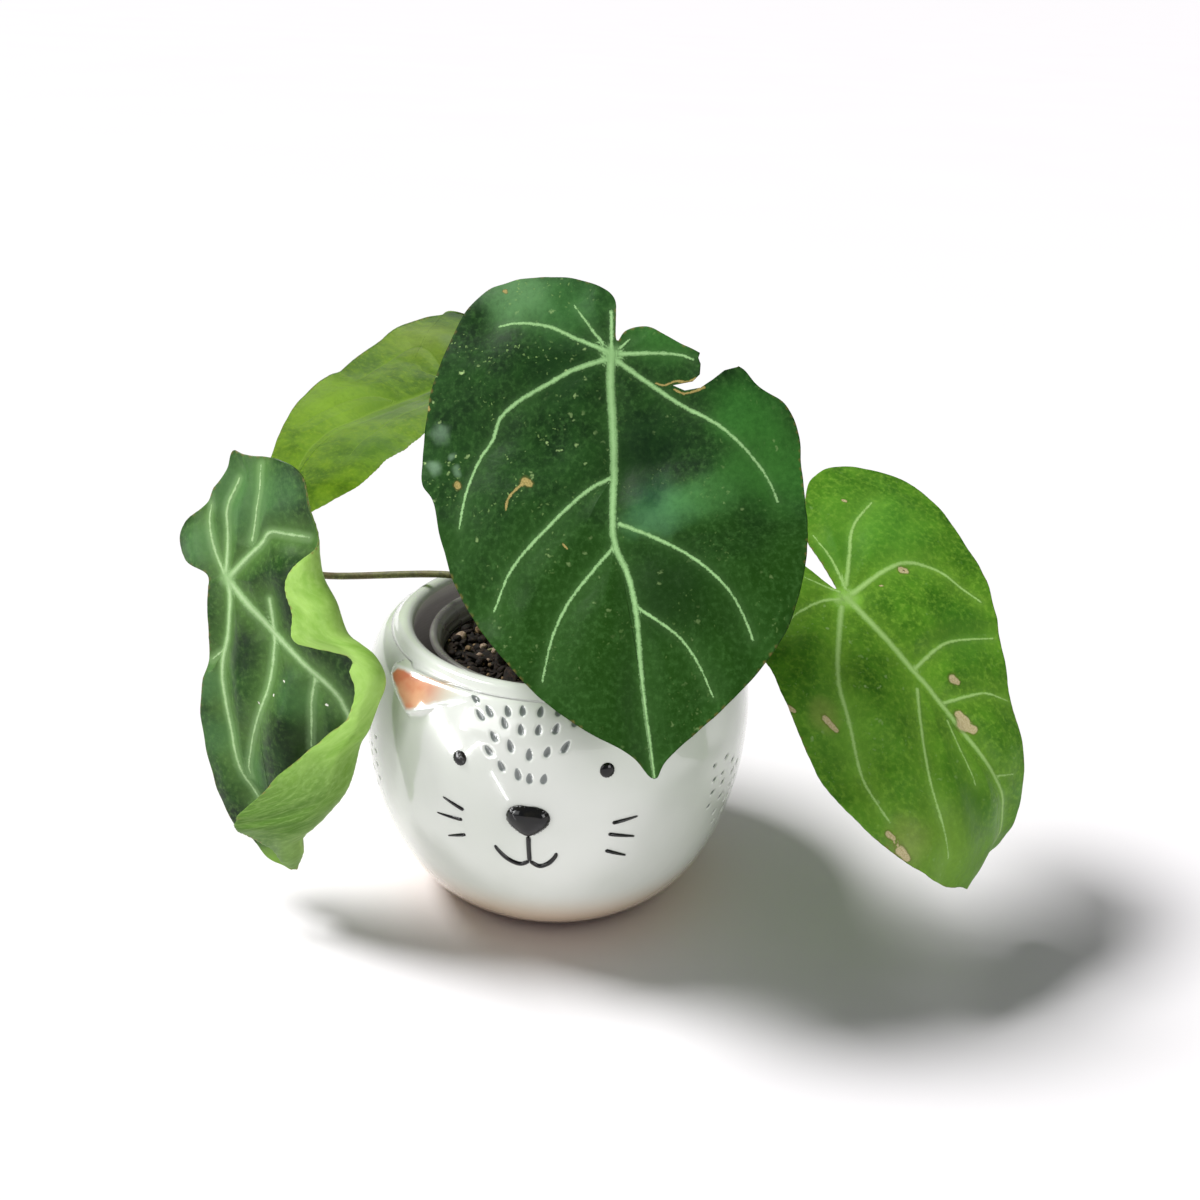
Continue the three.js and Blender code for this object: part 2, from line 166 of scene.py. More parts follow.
def through(points, steps, closed=False):
    """A smooth line through the points."""
    p = np.array(points, float)
    ends = (p[-1:], p[:2]) if closed else (2 * p[:1] - p[1:2], 2 * p[-1:] - p[-2:-1])
    q = np.vstack([ends[0], p, ends[1]])
    t = np.linspace(0, 1, steps, endpoint=False)[:, None]
    parts = [(2 * t**3 - 3 * t**2 + 1) * b + (t**3 - 2 * t**2 + t) * (c - a) / 2
             + (3 * t**2 - 2 * t**3) * c + (t**3 - t**2) * (d - b) / 2
             for a, b, c, d in zip(q, q[1:], q[2:], q[3:])]
    return np.vstack(parts + [p[:1] if closed else p[-1:]])


def spaced(line, shares):
    """The places at these shares of a line's length."""
    steps = np.linalg.norm(np.diff(line, axis=0), axis=1)
    along = np.concatenate([[0], np.cumsum(steps)]) / steps.sum()
    return np.stack([np.interp(shares, along, line[:, k]) for k in range(line.shape[1])], -1)


def unit(vectors):
    return vectors / np.linalg.norm(vectors, axis=-1, keepdims=True)


def ease(value, start, end):
    """0 at start, 1 at end, smooth between them, for arrays."""
    t = np.clip((value - start) / (end - start), 0, 1)
    return t * t * (3 - 2 * t)


def wander(points, size, seed=0.0):
    """Smooth noise, about -1 to 1, at points, with waves of about that size."""
    offset = Vector((seed * 7.3, seed * 3.1, seed * 5.7))
    return np.array([noise.noise(Vector(p) / size + offset) for p in points])


def places(bm):
    return np.array([v.co for v in bm.verts])


def move_to(bm, points):
    for vertex, point in zip(bm.verts, points):
        vertex.co = point


def face_out(bm):
    """Turns the faces of a shape outwards."""
    bmesh.ops.recalc_face_normals(bm, faces=bm.faces[:])


def disc(outline, hub, around, rings, margin=0.4):
    """A flat sheet inside an outline: a grid wrapped round the hub, its seam and its middle closed."""
    bm = bmesh.new()
    bmesh.ops.create_grid(bm, x_segments=around, y_segments=rings, size=1)
    place = places(bm)
    turn, out = (place[:, 0] + 1) / 2, (place[:, 1] + 1) / 2
    rim = spaced(np.array(outline, float), turn)
    reach = np.linalg.norm(rim - hub, axis=1)
    inner = out * rings / (rings - 1) * (1 - margin / reach)
    share = np.where(out > 1 - 0.5 / rings, 1, inner)
    flat = np.array(hub) + (rim - hub) * share[:, None]
    move_to(bm, np.column_stack([flat, np.zeros(len(flat))]))
    bmesh.ops.remove_doubles(bm, verts=bm.verts[:], dist=SEAM)
    face_out(bm)
    bm.faces.ensure_lookup_table()
    if sum(face.normal.z for face in bm.faces) < 0:
        bmesh.ops.reverse_faces(bm, faces=bm.faces[:])
    return bm


def stalk(path, radii, sides, flat=1.0):
    """A closed round stalk along a path: a grid wrapped round it, its seam and its two ends closed."""
    path = np.array(path, float)
    ahead = unit(np.gradient(path, axis=0))
    side = [unit(np.cross(ahead[0], [0.31, 0.17, 0.93]))]
    for way in ahead[1:]:
        side.append(unit(side[-1] - way * side[-1].dot(way)))
    side = np.array(side)
    other = np.cross(ahead, side)
    bm = bmesh.new()
    bmesh.ops.create_grid(bm, x_segments=len(path) - 1, y_segments=sides, size=1)
    place = places(bm)
    row = np.rint((place[:, 0] + 1) / 2 * (len(path) - 1)).astype(int)
    turn = (place[:, 1] + 1) * math.pi
    radius = np.array(radii)[row][:, None]
    round_it = side[row] * np.cos(turn)[:, None] + other[row] * np.sin(turn)[:, None] * flat
    move_to(bm, path[row] + round_it * radius)
    bmesh.ops.remove_doubles(bm, verts=bm.verts[:], dist=SEAM)
    face_out(bm)
    return bm


def turned(profile, steps):
    """A profile of (radius, height) turned round the upright axis."""
    bm = bmesh.new()
    line = [bm.verts.new((r, 0, z)) for r, z in profile]
    for a, b in zip(line, line[1:]):
        bm.edges.new((a, b))
    bmesh.ops.spin(bm, geom=bm.verts[:] + bm.edges[:], axis=(0, 0, 1), cent=(0, 0, 0),
                   angle=2 * math.pi, steps=steps, use_merge=True)
    bmesh.ops.remove_doubles(bm, verts=bm.verts[:], dist=POLE)
    face_out(bm)
    return bm


def stand(name, data):
    """A new object in the scene."""
    thing = bpy.data.objects.new(name, data)
    bpy.context.scene.collection.objects.link(thing)
    return thing


def finished(name, bm, finishes, replaced, fields=None):
    """A piece of the object from a shape in millimetres, riding on the pot in place of a plain solid."""
    mesh = bpy.data.meshes.new(name)
    bmesh.ops.scale(bm, vec=(MM, MM, MM), verts=bm.verts[:])
    bm.to_mesh(mesh)
    bm.free()
    for finish in finishes:
        mesh.materials.append(finish.material)
    mesh.polygons.foreach_set("use_smooth", [True] * len(mesh.polygons))
    for key, values in (fields or {}).items():
        field = mesh.attributes.new(key, "FLOAT_VECTOR", "POINT")
        field.data.foreach_set("vector", np.ascontiguousarray(values, dtype=np.float32).ravel())
    piece = stand(name, mesh)
    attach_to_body(piece, "root")
    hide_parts(replaced)


def joined(shapes, tints=None):
    """Several shapes in one, with a number of each shape's own kept for its colour."""
    whole = bmesh.new()
    layer = whole.verts.layers.float.new("tint")
    for number, shape in enumerate(shapes):
        mesh = bpy.data.meshes.new("part")
        shape.to_mesh(mesh)
        shape.free()
        start = len(whole.verts)
        whole.from_mesh(mesh)
        bpy.data.meshes.remove(mesh)
        whole.verts.ensure_lookup_table()
        for vertex in whole.verts[start:]:
            vertex[layer] = tints[number] if tints else 0.0
    return whole


# Leaves

# rib: the midrib in space. faces: where the upper side looks at its two ends. fold, droop, lobe: how the
# sheet bends across and behind the stalk. On the flat sheet, x along the midrib and y across: outline,
# hub (the middle of its mesh), holes, bulges (x, y, two reaches, height), and veins and scars
# (half width at the start and at the end, points).

FRONT = dict(
    rib=[[13.4, -8, 174.3], [15.9, -22, 154.3], [20, -41, 131.2], [27.4, -60, 108.3], [34.2, -76, 80.9]],
    faces=([0, -0.85, 0.52], [0, -0.85, 0.52]), fold=0.1, droop=0.0035, lobe=0.006, hub=(35, 0),
    outline=[(118, 0.5), (113, 5), (102, 21), (93, 32), (82, 42), (70, 48), (55, 51), (38, 51), (24, 50.5),
             (15, 47), (10, 40), (5, 36), (3, 30), (0, 24), (-4, 17), (-8, 10), (-7, 4), (-4, 1.5), (-10, 1),
             (-17, 1), (-21, -3), (-24, -11), (-25, -21), (-22, -34), (-15, -41), (-5, -46), (8, -50.5),
             (22, -53), (33, -53), (39, -50), (53, -47), (66, -42), (76, -37), (87, -31), (95, -25),
             (104, -15), (111, -5)],
    holes=[[(9.2, 16.5), (10.9, 20), (10.4, 24.3), (8.2, 27.6), (5.6, 30.8), (4.5, 34.5), (-4, 40), (-7, 27),
            (1.6, 23.9), (3.4, 24.5), (6.4, 24.2), (8.4, 22.2)]],
    scars=[(0.3, 0.45, [(43, -29.5), (40.5, -29), (38.5, -27.5), (37, -25.8), (35.8, -24.4)]),
           (1.3, 0.9, [(35.6, -24.2), (36.6, -22.8)]), (0.9, 0.9, [(34.2, -43.6), (34.9, -43.3)]),
           (0.6, 0.5, [(-20.7, -30), (-20.2, -29.6)]), (0.3, 0.2, [(53.2, -14.6), (54.6, -13.6)]),
           (0.25, 0.4, [(8.6, 12), (9.2, 14.5), (8.2, 17.5), (8.6, 20.5), (7.6, 23.5)]),
           (0.25, 0.4, [(10.4, 17), (11.7, 19.5), (11.2, 23), (10.4, 25.2)]),
           (0.5, 0.4, [(12.5, -51.6), (13.2, -51.2)])],
    bulges=[(45, 15, 9, 15, 1.5), (33, 8, 8, 10, -1.6), (62, -28, 16, 12, 1.2), (72, 20, 14, 14, 1.0),
            (10, -30, 12, 14, 1.4), (28, 32, 12, 9, 1.4), (88, -10, 12, 8, 0.8), (22, -14, 10, 8, -1.0)],
    veins=[
        (1.2, 0.42, [(-0.5, 0), (7.5, -0.5), (19, 0), (30.5, 0), (42, -0.5), (54, -1), (63, 1.5), (74, 2),
                    (85.5, 1), (97.5, 0.5), (107, 0.5), (117.5, 0.5)]),
        (0.7, 0.35, [(-1, -1.5), (-5.5, -10.5), (-9.5, -18.5), (-10.5, -27), (-10, -31.5)]),
        (0.5, 0.2, [(-3.5, -2.5), (-9.5, -6.5), (-16, -10.5)]),
        (0.75, 0.3, [(1.5, -2), (4.5, -11), (9.5, -20), (13.5, -27), (17.5, -31.5), (22, -33), (28.5, -37.5),
                    (37, -41), (46, -43)]),
        (0.6, 0.28, [(35.5, -1.5), (39, -7.5), (48, -18), (52.5, -23.5), (58.5, -30), (66.5, -35.5)]),
        (0.5, 0.28, [(55, -1), (61, -7.5), (68, -15), (76, -20.5), (83.5, -23.5), (89, -25.5)]),
        (0.6, 0.28, [(49, 1), (54, 10), (61, 18.5), (70.5, 25.5), (78, 29), (86, 31)]),
        (0.45, 0.2, [(73, 2.5), (78, 7.5), (83.5, 12.5), (90.5, 16), (99, 18.5)]),
        (0.75, 0.3, [(2, 1.5), (8.5, 10), (15.5, 19.5), (21, 28), (27.5, 34.5), (33.5, 39.5), (39.5, 42.5),
                    (44.5, 44)]),
        (0.7, 0.3, [(0, 2.5), (0, 12), (0.5, 18.5), (2, 22.5)]),
        (0.4, 0.2, [(-2, 2.5), (-4.5, 5)]),
        (0.5, 0.5, [(-13.5, 0), (-0.5, 0)])])

RIGHT = dict(
    rib=[[85.9, -3, 104.5], [101.8, -15, 93], [119.3, -25, 77.5], [132.7, -29, 60.1], [136.8, -25, 40.6],
         [131.5, -16, 16]],
    faces=([0.38, -0.7, 0.6], [0.8, -0.55, 0.25]), fold=0.12, droop=0.004, lobe=0.004, hub=(35, 0),
    scars=[(1.5, 1.0, [(38.2, 8.1), (39.8, 8.9)]), (1.3, 0.9, [(47.2, 2.4), (50.5, 3.2)]),
           (1.9, 1.3, [(50.2, 1.2), (53.4, 3.1)]), (1.3, 1.1, [(2.6, 20.6), (3.4, 21.6)]),
           (1.1, 0.8, [(24.6, -33.6), (28.6, -33.2)]), (1.0, 0.8, [(57, -41.6), (58.4, -41.2)]),
           (1.5, 1.0, [(62.2, -41.9), (65.4, -41.4)]), (0.6, 0.5, [(-26.4, 24), (-25.6, 24.4)]),
           (0.9, 0.6, [(17, -39.8), (18.4, -39.2)]), (0.35, 0.3, [(3, 10.8), (3.4, 11.3)])],
    holes=[[(2.7, 21.0), (3.0, 21.5), (3.5, 21.4), (3.4, 20.9)]],
    bulges=[(20, 14, 12, 9, 1.3), (30, -20, 16, 8, 1.5), (60, -22, 14, 8, 1.4), (78, -14, 14, 7, -1.2),
            (-18, 30, 12, 12, 1.3), (-16, 12, 8, 8, -0.8), (8, -24, 12, 8, 1.0)],
    outline=[(111, -6.5), (113, -1), (112, 4), (108.5, 6.2), (100, 7), (86, 7.5), (72, 12.5), (60, 19),
             (47, 27), (35, 35), (21, 43), (7, 47), (-8, 50), (-20, 50), (-30, 45), (-38, 37), (-40, 30),
             (-38, 21), (-32, 13), (-23, 5), (-10, 1.5), (-4, 0), (-8, -1), (-17, -3), (-27, -8), (-33, -17),
             (-32, -28), (-24, -36), (-12, -38), (2, -35), (15, -39), (25, -43), (36, -47), (46, -47),
             (57, -45), (69, -41), (79, -35), (86, -30.5), (93, -24), (101, -16.5), (107, -10.5)],
    veins=[
        (1.0, 0.4, [(0, 0), (30, 0), (60, 0), (90, 0), (118, 0)]),
        (0.9, 0.3, [(1.5, -3.5), (13, -16.5), (20, -23.5), (29, -28.5), (41.5, -36.5), (49, -38.5),
                    (55, -39)]),
        (0.6, 0.25, [(34, -3.5), (47, -15.5), (57.5, -23.5), (75, -29)]),
        (0.7, 0.25, [(29, 1), (28.5, 11.5), (30.5, 19.5), (37, 31)]),
        (0.6, 0.25, [(41.5, 0), (45.5, 10), (48.5, 15.5), (55, 20.5)]),
        (0.9, 0.3, [(0, 2.5), (0, 16.5), (2, 25), (8.5, 31.5), (16.5, 34), (25.5, 36)]),
        (0.7, 0.3, [(-3.5, 3), (-10, 10.5), (-17.5, 19.5), (-21, 31.5)]),
        (0.5, 0.2, [(-2.5, 2), (-12.5, 5.5), (-23, 8)]),
        (0.6, 0.2, [(-1, -2), (-3.5, -7), (-4.5, -17.5), (-2, -23.5)]),
        (0.4, 0.2, [(-3, 0), (-13, -5.5)]),
        (0.4, 0.2, [(46.5, -2), (65, -8.5)]),
        (0.35, 0.2, [(68.5, 1), (72, 7)])])

BACK = dict(
    rib=[[-41.4, 45, 150], [-62.4, 55, 139.8], [-82.1, 65, 129.3], [-99.2, 74, 115.6], [-110.3, 80, 98.9],
         [-114, 82, 84.3]],
    faces=([-0.3, 0.75, 0.6], [-0.3, 0.75, 0.6]), fold=0.12, droop=0.003, lobe=0.004, hub=(35, -5),
    outline=[(112, -2), (106, 5), (94, 8), (80, 10), (58, 16), (36, 21), (15, 27), (-4, 32), (-20, 36),
             (-29, 36.8), (-32.5, 38.8), (-35.2, 39.6), (-37, 37.2), (-36.5, 31), (-34.5, 25), (-30, 14),
             (-22, 6), (-10, 2), (-5, 0), (-10, -2), (-22, -6), (-30, -14), (-32, -24), (-24, -33),
             (-8, -36), (6, -36), (22, -32), (36, -29), (50, -31), (63, -33), (74, -32), (86, -31),
             (98, -26), (108, -14)],
    bulges=[(45, 10, 22, 6, 2.2), (38, -4, 26, 4, -1.8), (40, -18, 24, 7, 2.4), (-12, 18, 12, 9, 2.0),
            (75, -22, 16, 7, 1.6), (12, -28, 12, 7, 1.6), (84, 2, 14, 5, 1.0)],
    veins=[
        (0.8, 0.3, [(0, 0), (26, -0.5), (40, -1), (65, -1), (90, -1.5), (110, -2)]),
        (0.5, 0.2, [(26, -0.5), (32, 4), (41, 5.5), (50.5, 6.5), (65.5, 8)]),
        (0.5, 0.2, [(1, 2), (4.5, 9.5), (3, 14), (7, 19.5)]),
        (0.5, 0.2, [(0, 1.5), (-4.5, 21), (12.5, 19.5), (34.5, 13.5)]),
        (0.5, 0.2, [(2, -1.5), (11.5, -5), (33.5, -13), (55, -17), (78, -18)]),
        (0.5, 0.2, [(0, -2), (3, -14), (12, -23), (28, -27)]),
        (0.5, 0.2, [(-2, -1), (-12, -9), (-19, -20)])])

LEFT = dict(
    rib=[[-96.7, -21.5, 103.7], [-90.7, -28.8, 84.1], [-85.6, -34.7, 62.9], [-81.1, -38.6, 39.8],
         [-77.3, -40.6, 15.1]],
    faces=([-0.45, -0.8, 0.35], [-0.45, -0.8, 0.35]), fold=0.0, droop=0.0015, lobe=0.002, hub=(2, 3),
    outline=[(93, 1), (91.5, 3), (89.5, 6.5), (87, 10.5), (84, 17), (80.5, 27), (76.5, 38), (73, 48),
             (70, 56), (64, 63.5), (58, 66.5), (51.5, 62.5), (48.5, 63.5), (45, 64.5), (41, 61.5),
             (35.5, 65.5), (30.5, 66.5), (26.5, 61), (21.5, 65.5), (15, 61.5), (9.5, 57.5), (2, 52),
             (-4, 38.5), (-12, 39), (-17.5, 39), (-25.5, 34), (-30, 27), (-33.5, 16), (-35.5, 12),
             (-30.5, 8), (-24, -0.5), (-19.5, -10.5), (-14, -15), (-8, -14), (-2, -6.5), (6.5, -9),
             (18.5, -13), (38, -21.5), (48.5, -23), (64, -22.5), (78.5, -17.5), (83, -9.5), (89, -6.5),
             (91.5, -2)],
    roll=dict(line=[(-6, 39.2), (1, 39.3), (7.5, 39.2), (14, 41.6), (20.5, 43.2), (23.5, 46.6), (26.5, 50.2),
                    (30, 52.4), (33, 53), (36, 52), (39, 49.8), (46, 45), (51, 39.5), (61, 33.6), (69, 23.8),
                    (76, 13), (82, 8.8), (88.5, 5.5), (92, 3)],
              radius=[(0, 4.4), (74, 4.9), (92, 1)], angle=3.1),
    scars=[(0.35, 0.3, [(31.3, 14.8), (31.8, 15.3)]), (0.3, 0.3, [(35.3, 10), (35.8, 10.2)]),
           (0.25, 0.3, [(37.3, 3.4), (37.8, 3.6)]), (0.3, 0.25, [(39, 27.8), (39.2, 28.4)])],
    bulges=[(-14, -8, 9, 5, 1.5), (14, 2, 10, 5, 1.6), (22, 28, 9, 8, 2.0), (44, 8, 12, 8, 2.2),
            (4, 24, 8, 8, 1.8), (-20, 22, 10, 6, 1.6), (30, -2, 10, 5, 1.4), (60, 8, 12, 8, 1.6),
            (62, -16, 12, 5, 1.2), (-22, 2, 7, 4, 1.2)],
    quilt=2.3,
    veins=[
        (1.15, 0.5, [(0, 0), (9.5, 6.5), (17.5, 12.5), (26, 21), (31, 26.5), (37.5, 32.5), (44.5, 34.5),
                    (58, 30), (72, 18), (84, 8), (91, 2)]),
        (1.05, 0.4, [(0.5, 0), (6.5, -0.5), (14.5, -4), (25.5, -10), (38, -12), (58, -12), (69, -7)]),
        (0.7, 0.25, [(9, 14.5), (18.5, 13), (21.5, 12.5), (34, 7.5), (47.5, -2.5), (57.5, -8), (61.5, -8)]),
        (0.6, 0.25, [(31.5, 25.5), (38.5, 22), (51, 19)]),
        (0.9, 0.35, [(-0.5, 1.5), (-4, 8), (-7.5, 15.5), (-10, 20), (-8, 27), (-6, 33)]),
        (0.8, 0.3, [(-2, 0), (-14, 3.5), (-21, 6), (-27.5, 11.5)]),
        (0.6, 0.3, [(-1.5, -1), (-9, -3), (-18, -3), (-22, -0.5)]),
        (0.4, 0.2, [(21, -8.5), (23.5, -14)]),
        (0.4, 0.2, [(-9, 12), (-17, 16.5), (-22.5, 19.5), (-29.5, 21)])])

BLADE_THICKNESS = 0.55
CREASE = 2.0  # how softly a blade folds at its midrib
JAG = 0.25  # how far a blade's margin wanders
SKIN_DEPTH = 0.1  # faces nearer to a side than this belong to it, the others to the rim
NO_SCAR = (50.0, 50.0, 0.5)  # the way to the nearest scar, and its half width, on a blade that has none


class Sheet:
    """The surface on which a blade lies: x along its midrib, y across, in millimetres."""

    def __init__(self, leaf):
        self.leaf = leaf
        self.rib = through(leaf["rib"], 200)
        steps = np.linalg.norm(np.diff(self.rib, axis=0), axis=1)
        self.along = np.concatenate([[0], np.cumsum(steps)])
        self.length = self.along[-1]

    def on_rib(self, x):
        x = np.clip(x, 0, self.length)
        return np.stack([np.interp(x, self.along, self.rib[:, k]) for k in range(3)], -1)

    def height(self, x, y):
        leaf = self.leaf
        crease = np.sqrt(y * y + CREASE ** 2) - CREASE
        return leaf["fold"] * crease - leaf["droop"] * y * y - leaf["lobe"] * np.minimum(x, 0) ** 2

    def frame(self, x):
        """On the midrib: the place, the way across the blade and the way up from it."""
        held = np.clip(x, 0, self.length)
        ahead = unit(self.on_rib(held + 2) - self.on_rib(held - 2))
        start, end = (np.array(face, float) for face in self.leaf["faces"])
        share = (held / self.length)[..., None]
        up = start + (end - start) * share
        up = unit(up - ahead * (up * ahead).sum(-1, keepdims=True))
        point = self.on_rib(held) + ahead * (x - held)[..., None]
        return point, np.cross(up, ahead), up

    def place(self, x, y):
        point, across, up = self.frame(x)
        side, height = y, self.height(x, y)
        if "roll" in self.leaf:
            roll = self.leaf["roll"]
            radius = np.interp(x, *zip(*roll["radius"]))
            start = np.interp(x, *through(roll["line"], 8).T) - radius
            turn = np.clip((y - start) / radius, 0, roll["angle"])
            rest = np.maximum(y - start - turn * radius, 0)
            rolled = y > start
            side = np.where(rolled, start + radius * np.sin(turn) + rest * np.cos(turn), y)
            lifted = self.height(x, start) + radius * (1 - np.cos(turn)) + rest * np.sin(turn)
            height = np.where(rolled, lifted, height)
        return point + across * side[..., None] + up * height[..., None]

    def lay(self, x, y, lift):
        """The places at a lift above the surface, along its own normal."""
        step = 0.4
        along = self.place(x + step, y) - self.place(x - step, y)
        over = self.place(x, y + step) - self.place(x, y - step)
        return self.place(x, y) + unit(np.cross(along, over)) * lift[..., None]


def vein_way(flat, veins):
    """From each place on a blade the way to the nearest vein, and that vein's half width there."""
    nearest = np.full(len(flat), 1e9)
    way = np.zeros((len(flat), 3))
    for start, end, points in veins:
        line = spaced(through(points, 8), np.linspace(0, 1, 26))
        a, step = line[:-1], np.diff(line, axis=0)
        share = ((flat[:, None] - a) * step).sum(-1) / (step ** 2).sum(-1)
        share = np.clip(share, 0, 1)
        gap = a + share[..., None] * step - flat[:, None]
        far = np.linalg.norm(gap, axis=-1)
        pick = far.argmin(1)
        rows = np.arange(len(flat))
        half = start + (end - start) * (pick + share[rows, pick]) / len(step)
        score = far[rows, pick] - half
        closer = score < nearest
        nearest = np.where(closer, score, nearest)
        way[closer] = np.column_stack([gap[rows, pick], half])[closer]
    return way


def inside(flat, corners):
    """Which places lie inside a polygon."""
    x, y = flat[:, 0], flat[:, 1]
    found = np.zeros(len(flat), bool)
    for (ax, ay), (bx, by) in zip(corners, corners[1:] + corners[:1]):
        crosses = (ay > y) != (by > y)
        found ^= crosses & (x < (bx - ax) * (y - ay) / (by - ay + 1e-12) + ax)
    return found


def cut_gap(bm, corners):
    """Cuts a torn or eaten place out of a flat blade."""
    low, high = np.min(corners, axis=0) - 2, np.max(corners, axis=0) + 2
    for (ax, ay), (bx, by) in zip(corners, corners[1:] + corners[:1]):
        near = [f for f in bm.faces if low[0] < f.calc_center_median().x < high[0]
                and low[1] < f.calc_center_median().y < high[1]]
        edges = {e for f in near for e in f.edges}
        verts = {v for f in near for v in f.verts}
        bmesh.ops.bisect_plane(bm, geom=list(verts) + list(edges) + near, dist=1e-4,
                               plane_co=(ax, ay, 0), plane_no=(by - ay, ax - bx, 0))
    middles = np.array([f.calc_center_median()[:2] for f in bm.faces])
    gone = inside(middles, corners)
    bm.faces.ensure_lookup_table()
    bmesh.ops.delete(bm, geom=[f for f, out in zip(bm.faces[:], gone) if out], context="FACES")
    bmesh.ops.dissolve_degenerate(bm, dist=1e-3, edges=bm.edges[:])


def margin_line(leaf, seed):
    """A blade's outline, slightly ragged."""
    line = spaced(through(leaf["outline"], 12, closed=True), np.linspace(0, 1, 1200))
    shake = wander(np.column_stack([line, np.zeros(len(line))]), 5, seed) * JAG
    shake[-1] = shake[0]
    return line + unit(line - np.array(leaf["hub"])) * shake[:, None]


def thick_blade(leaf, line):
    """A flat blade with its holes, its two sides and its rim; each point's place and depth in it."""
    around, rings = ((460, 62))
    bm = disc(line, leaf["hub"], around, rings)
    for corners in leaf.get("holes", []):
        cut_gap(bm, corners)
    bmesh.ops.solidify(bm, geom=bm.faces[:], thickness=BLADE_THICKNESS)
    face_out(bm)
    spots = places(bm)
    depth = np.where(spots[:, 2] > spots[:, 2].mean(), 0.0, -BLADE_THICKNESS)
    move_to(bm, np.column_stack([spots[:, :2], depth]))
    middles = {face: face.calc_center_median().z for face in bm.faces}
    if sum(face.normal.z * (0.5 * BLADE_THICKNESS + middle) for face, middle in middles.items()) < 0:
        bmesh.ops.reverse_faces(bm, faces=bm.faces[:])
    for face, middle in middles.items():
        under = middle < SKIN_DEPTH - BLADE_THICKNESS
        face.material_index = 0 if middle > -SKIN_DEPTH else 1 if under else 2
    return bm, spots[:, :2], depth


def leaf_piece(name, leaf, finishes, seed, ripple):
    """A blade with its thickness, its sunken veins, its quilting and its waved margin."""
    line = margin_line(leaf, seed)
    bm, flat, depth = thick_blade(leaf, line)
    upper = depth > -SKIN_DEPTH
    way = vein_way(flat, leaf["veins"])
    far, half = np.linalg.norm(way[:, :2], axis=1), way[:, 2]
    edge = np.min([np.hypot(*(flat - point).T) for point in line[::8]], axis=0)
    wide = np.column_stack([flat, np.full(len(flat), seed)])
    quilt = leaf.get("quilt", 1.2) * (1 - np.exp(-(far / 5.5) ** 2))
    wave = ripple * wander(wide, 24, seed) * (0.5 + 0.7 * np.exp(-edge / 12))
    wave = wave + 0.45 * wander(wide, 9, seed + 3)
    margin = 0.5 * np.exp(-edge / 5) * wander(wide, 7, seed + 5)
    relief = quilt - 0.6 + wave + margin
    for x, y, reach_x, reach_y, high in leaf["bulges"]:
        away = ((flat[:, 0] - x) / reach_x) ** 2 + ((flat[:, 1] - y) / reach_y) ** 2
        relief = relief + high * np.exp(-away)
    ridge = np.exp(-(far / (half + 0.2)) ** 2) * np.minimum(half, 0.8)
    relief = relief + np.where(upper, 0.3, -0.6) * ridge
    thin = np.where(upper, 0, -BLADE_THICKNESS * (0.55 + 0.45 * ease(edge, 0, 1.5)))
    move_to(bm, Sheet(leaf).lay(flat[:, 0], flat[:, 1], relief + thin))
    scars = vein_way(flat, leaf["scars"]) if "scars" in leaf else np.tile(NO_SCAR, (len(flat), 1))
    slack = 0.45
    gaps = np.column_stack([far - slack, np.linalg.norm(scars[:, :2], axis=1) - slack, edge])
    finished(f"{name}_blade", bm, finishes, name,
             {"blade": np.column_stack([flat, edge]), "vein": way, "scar": scars, "gaps": gaps})


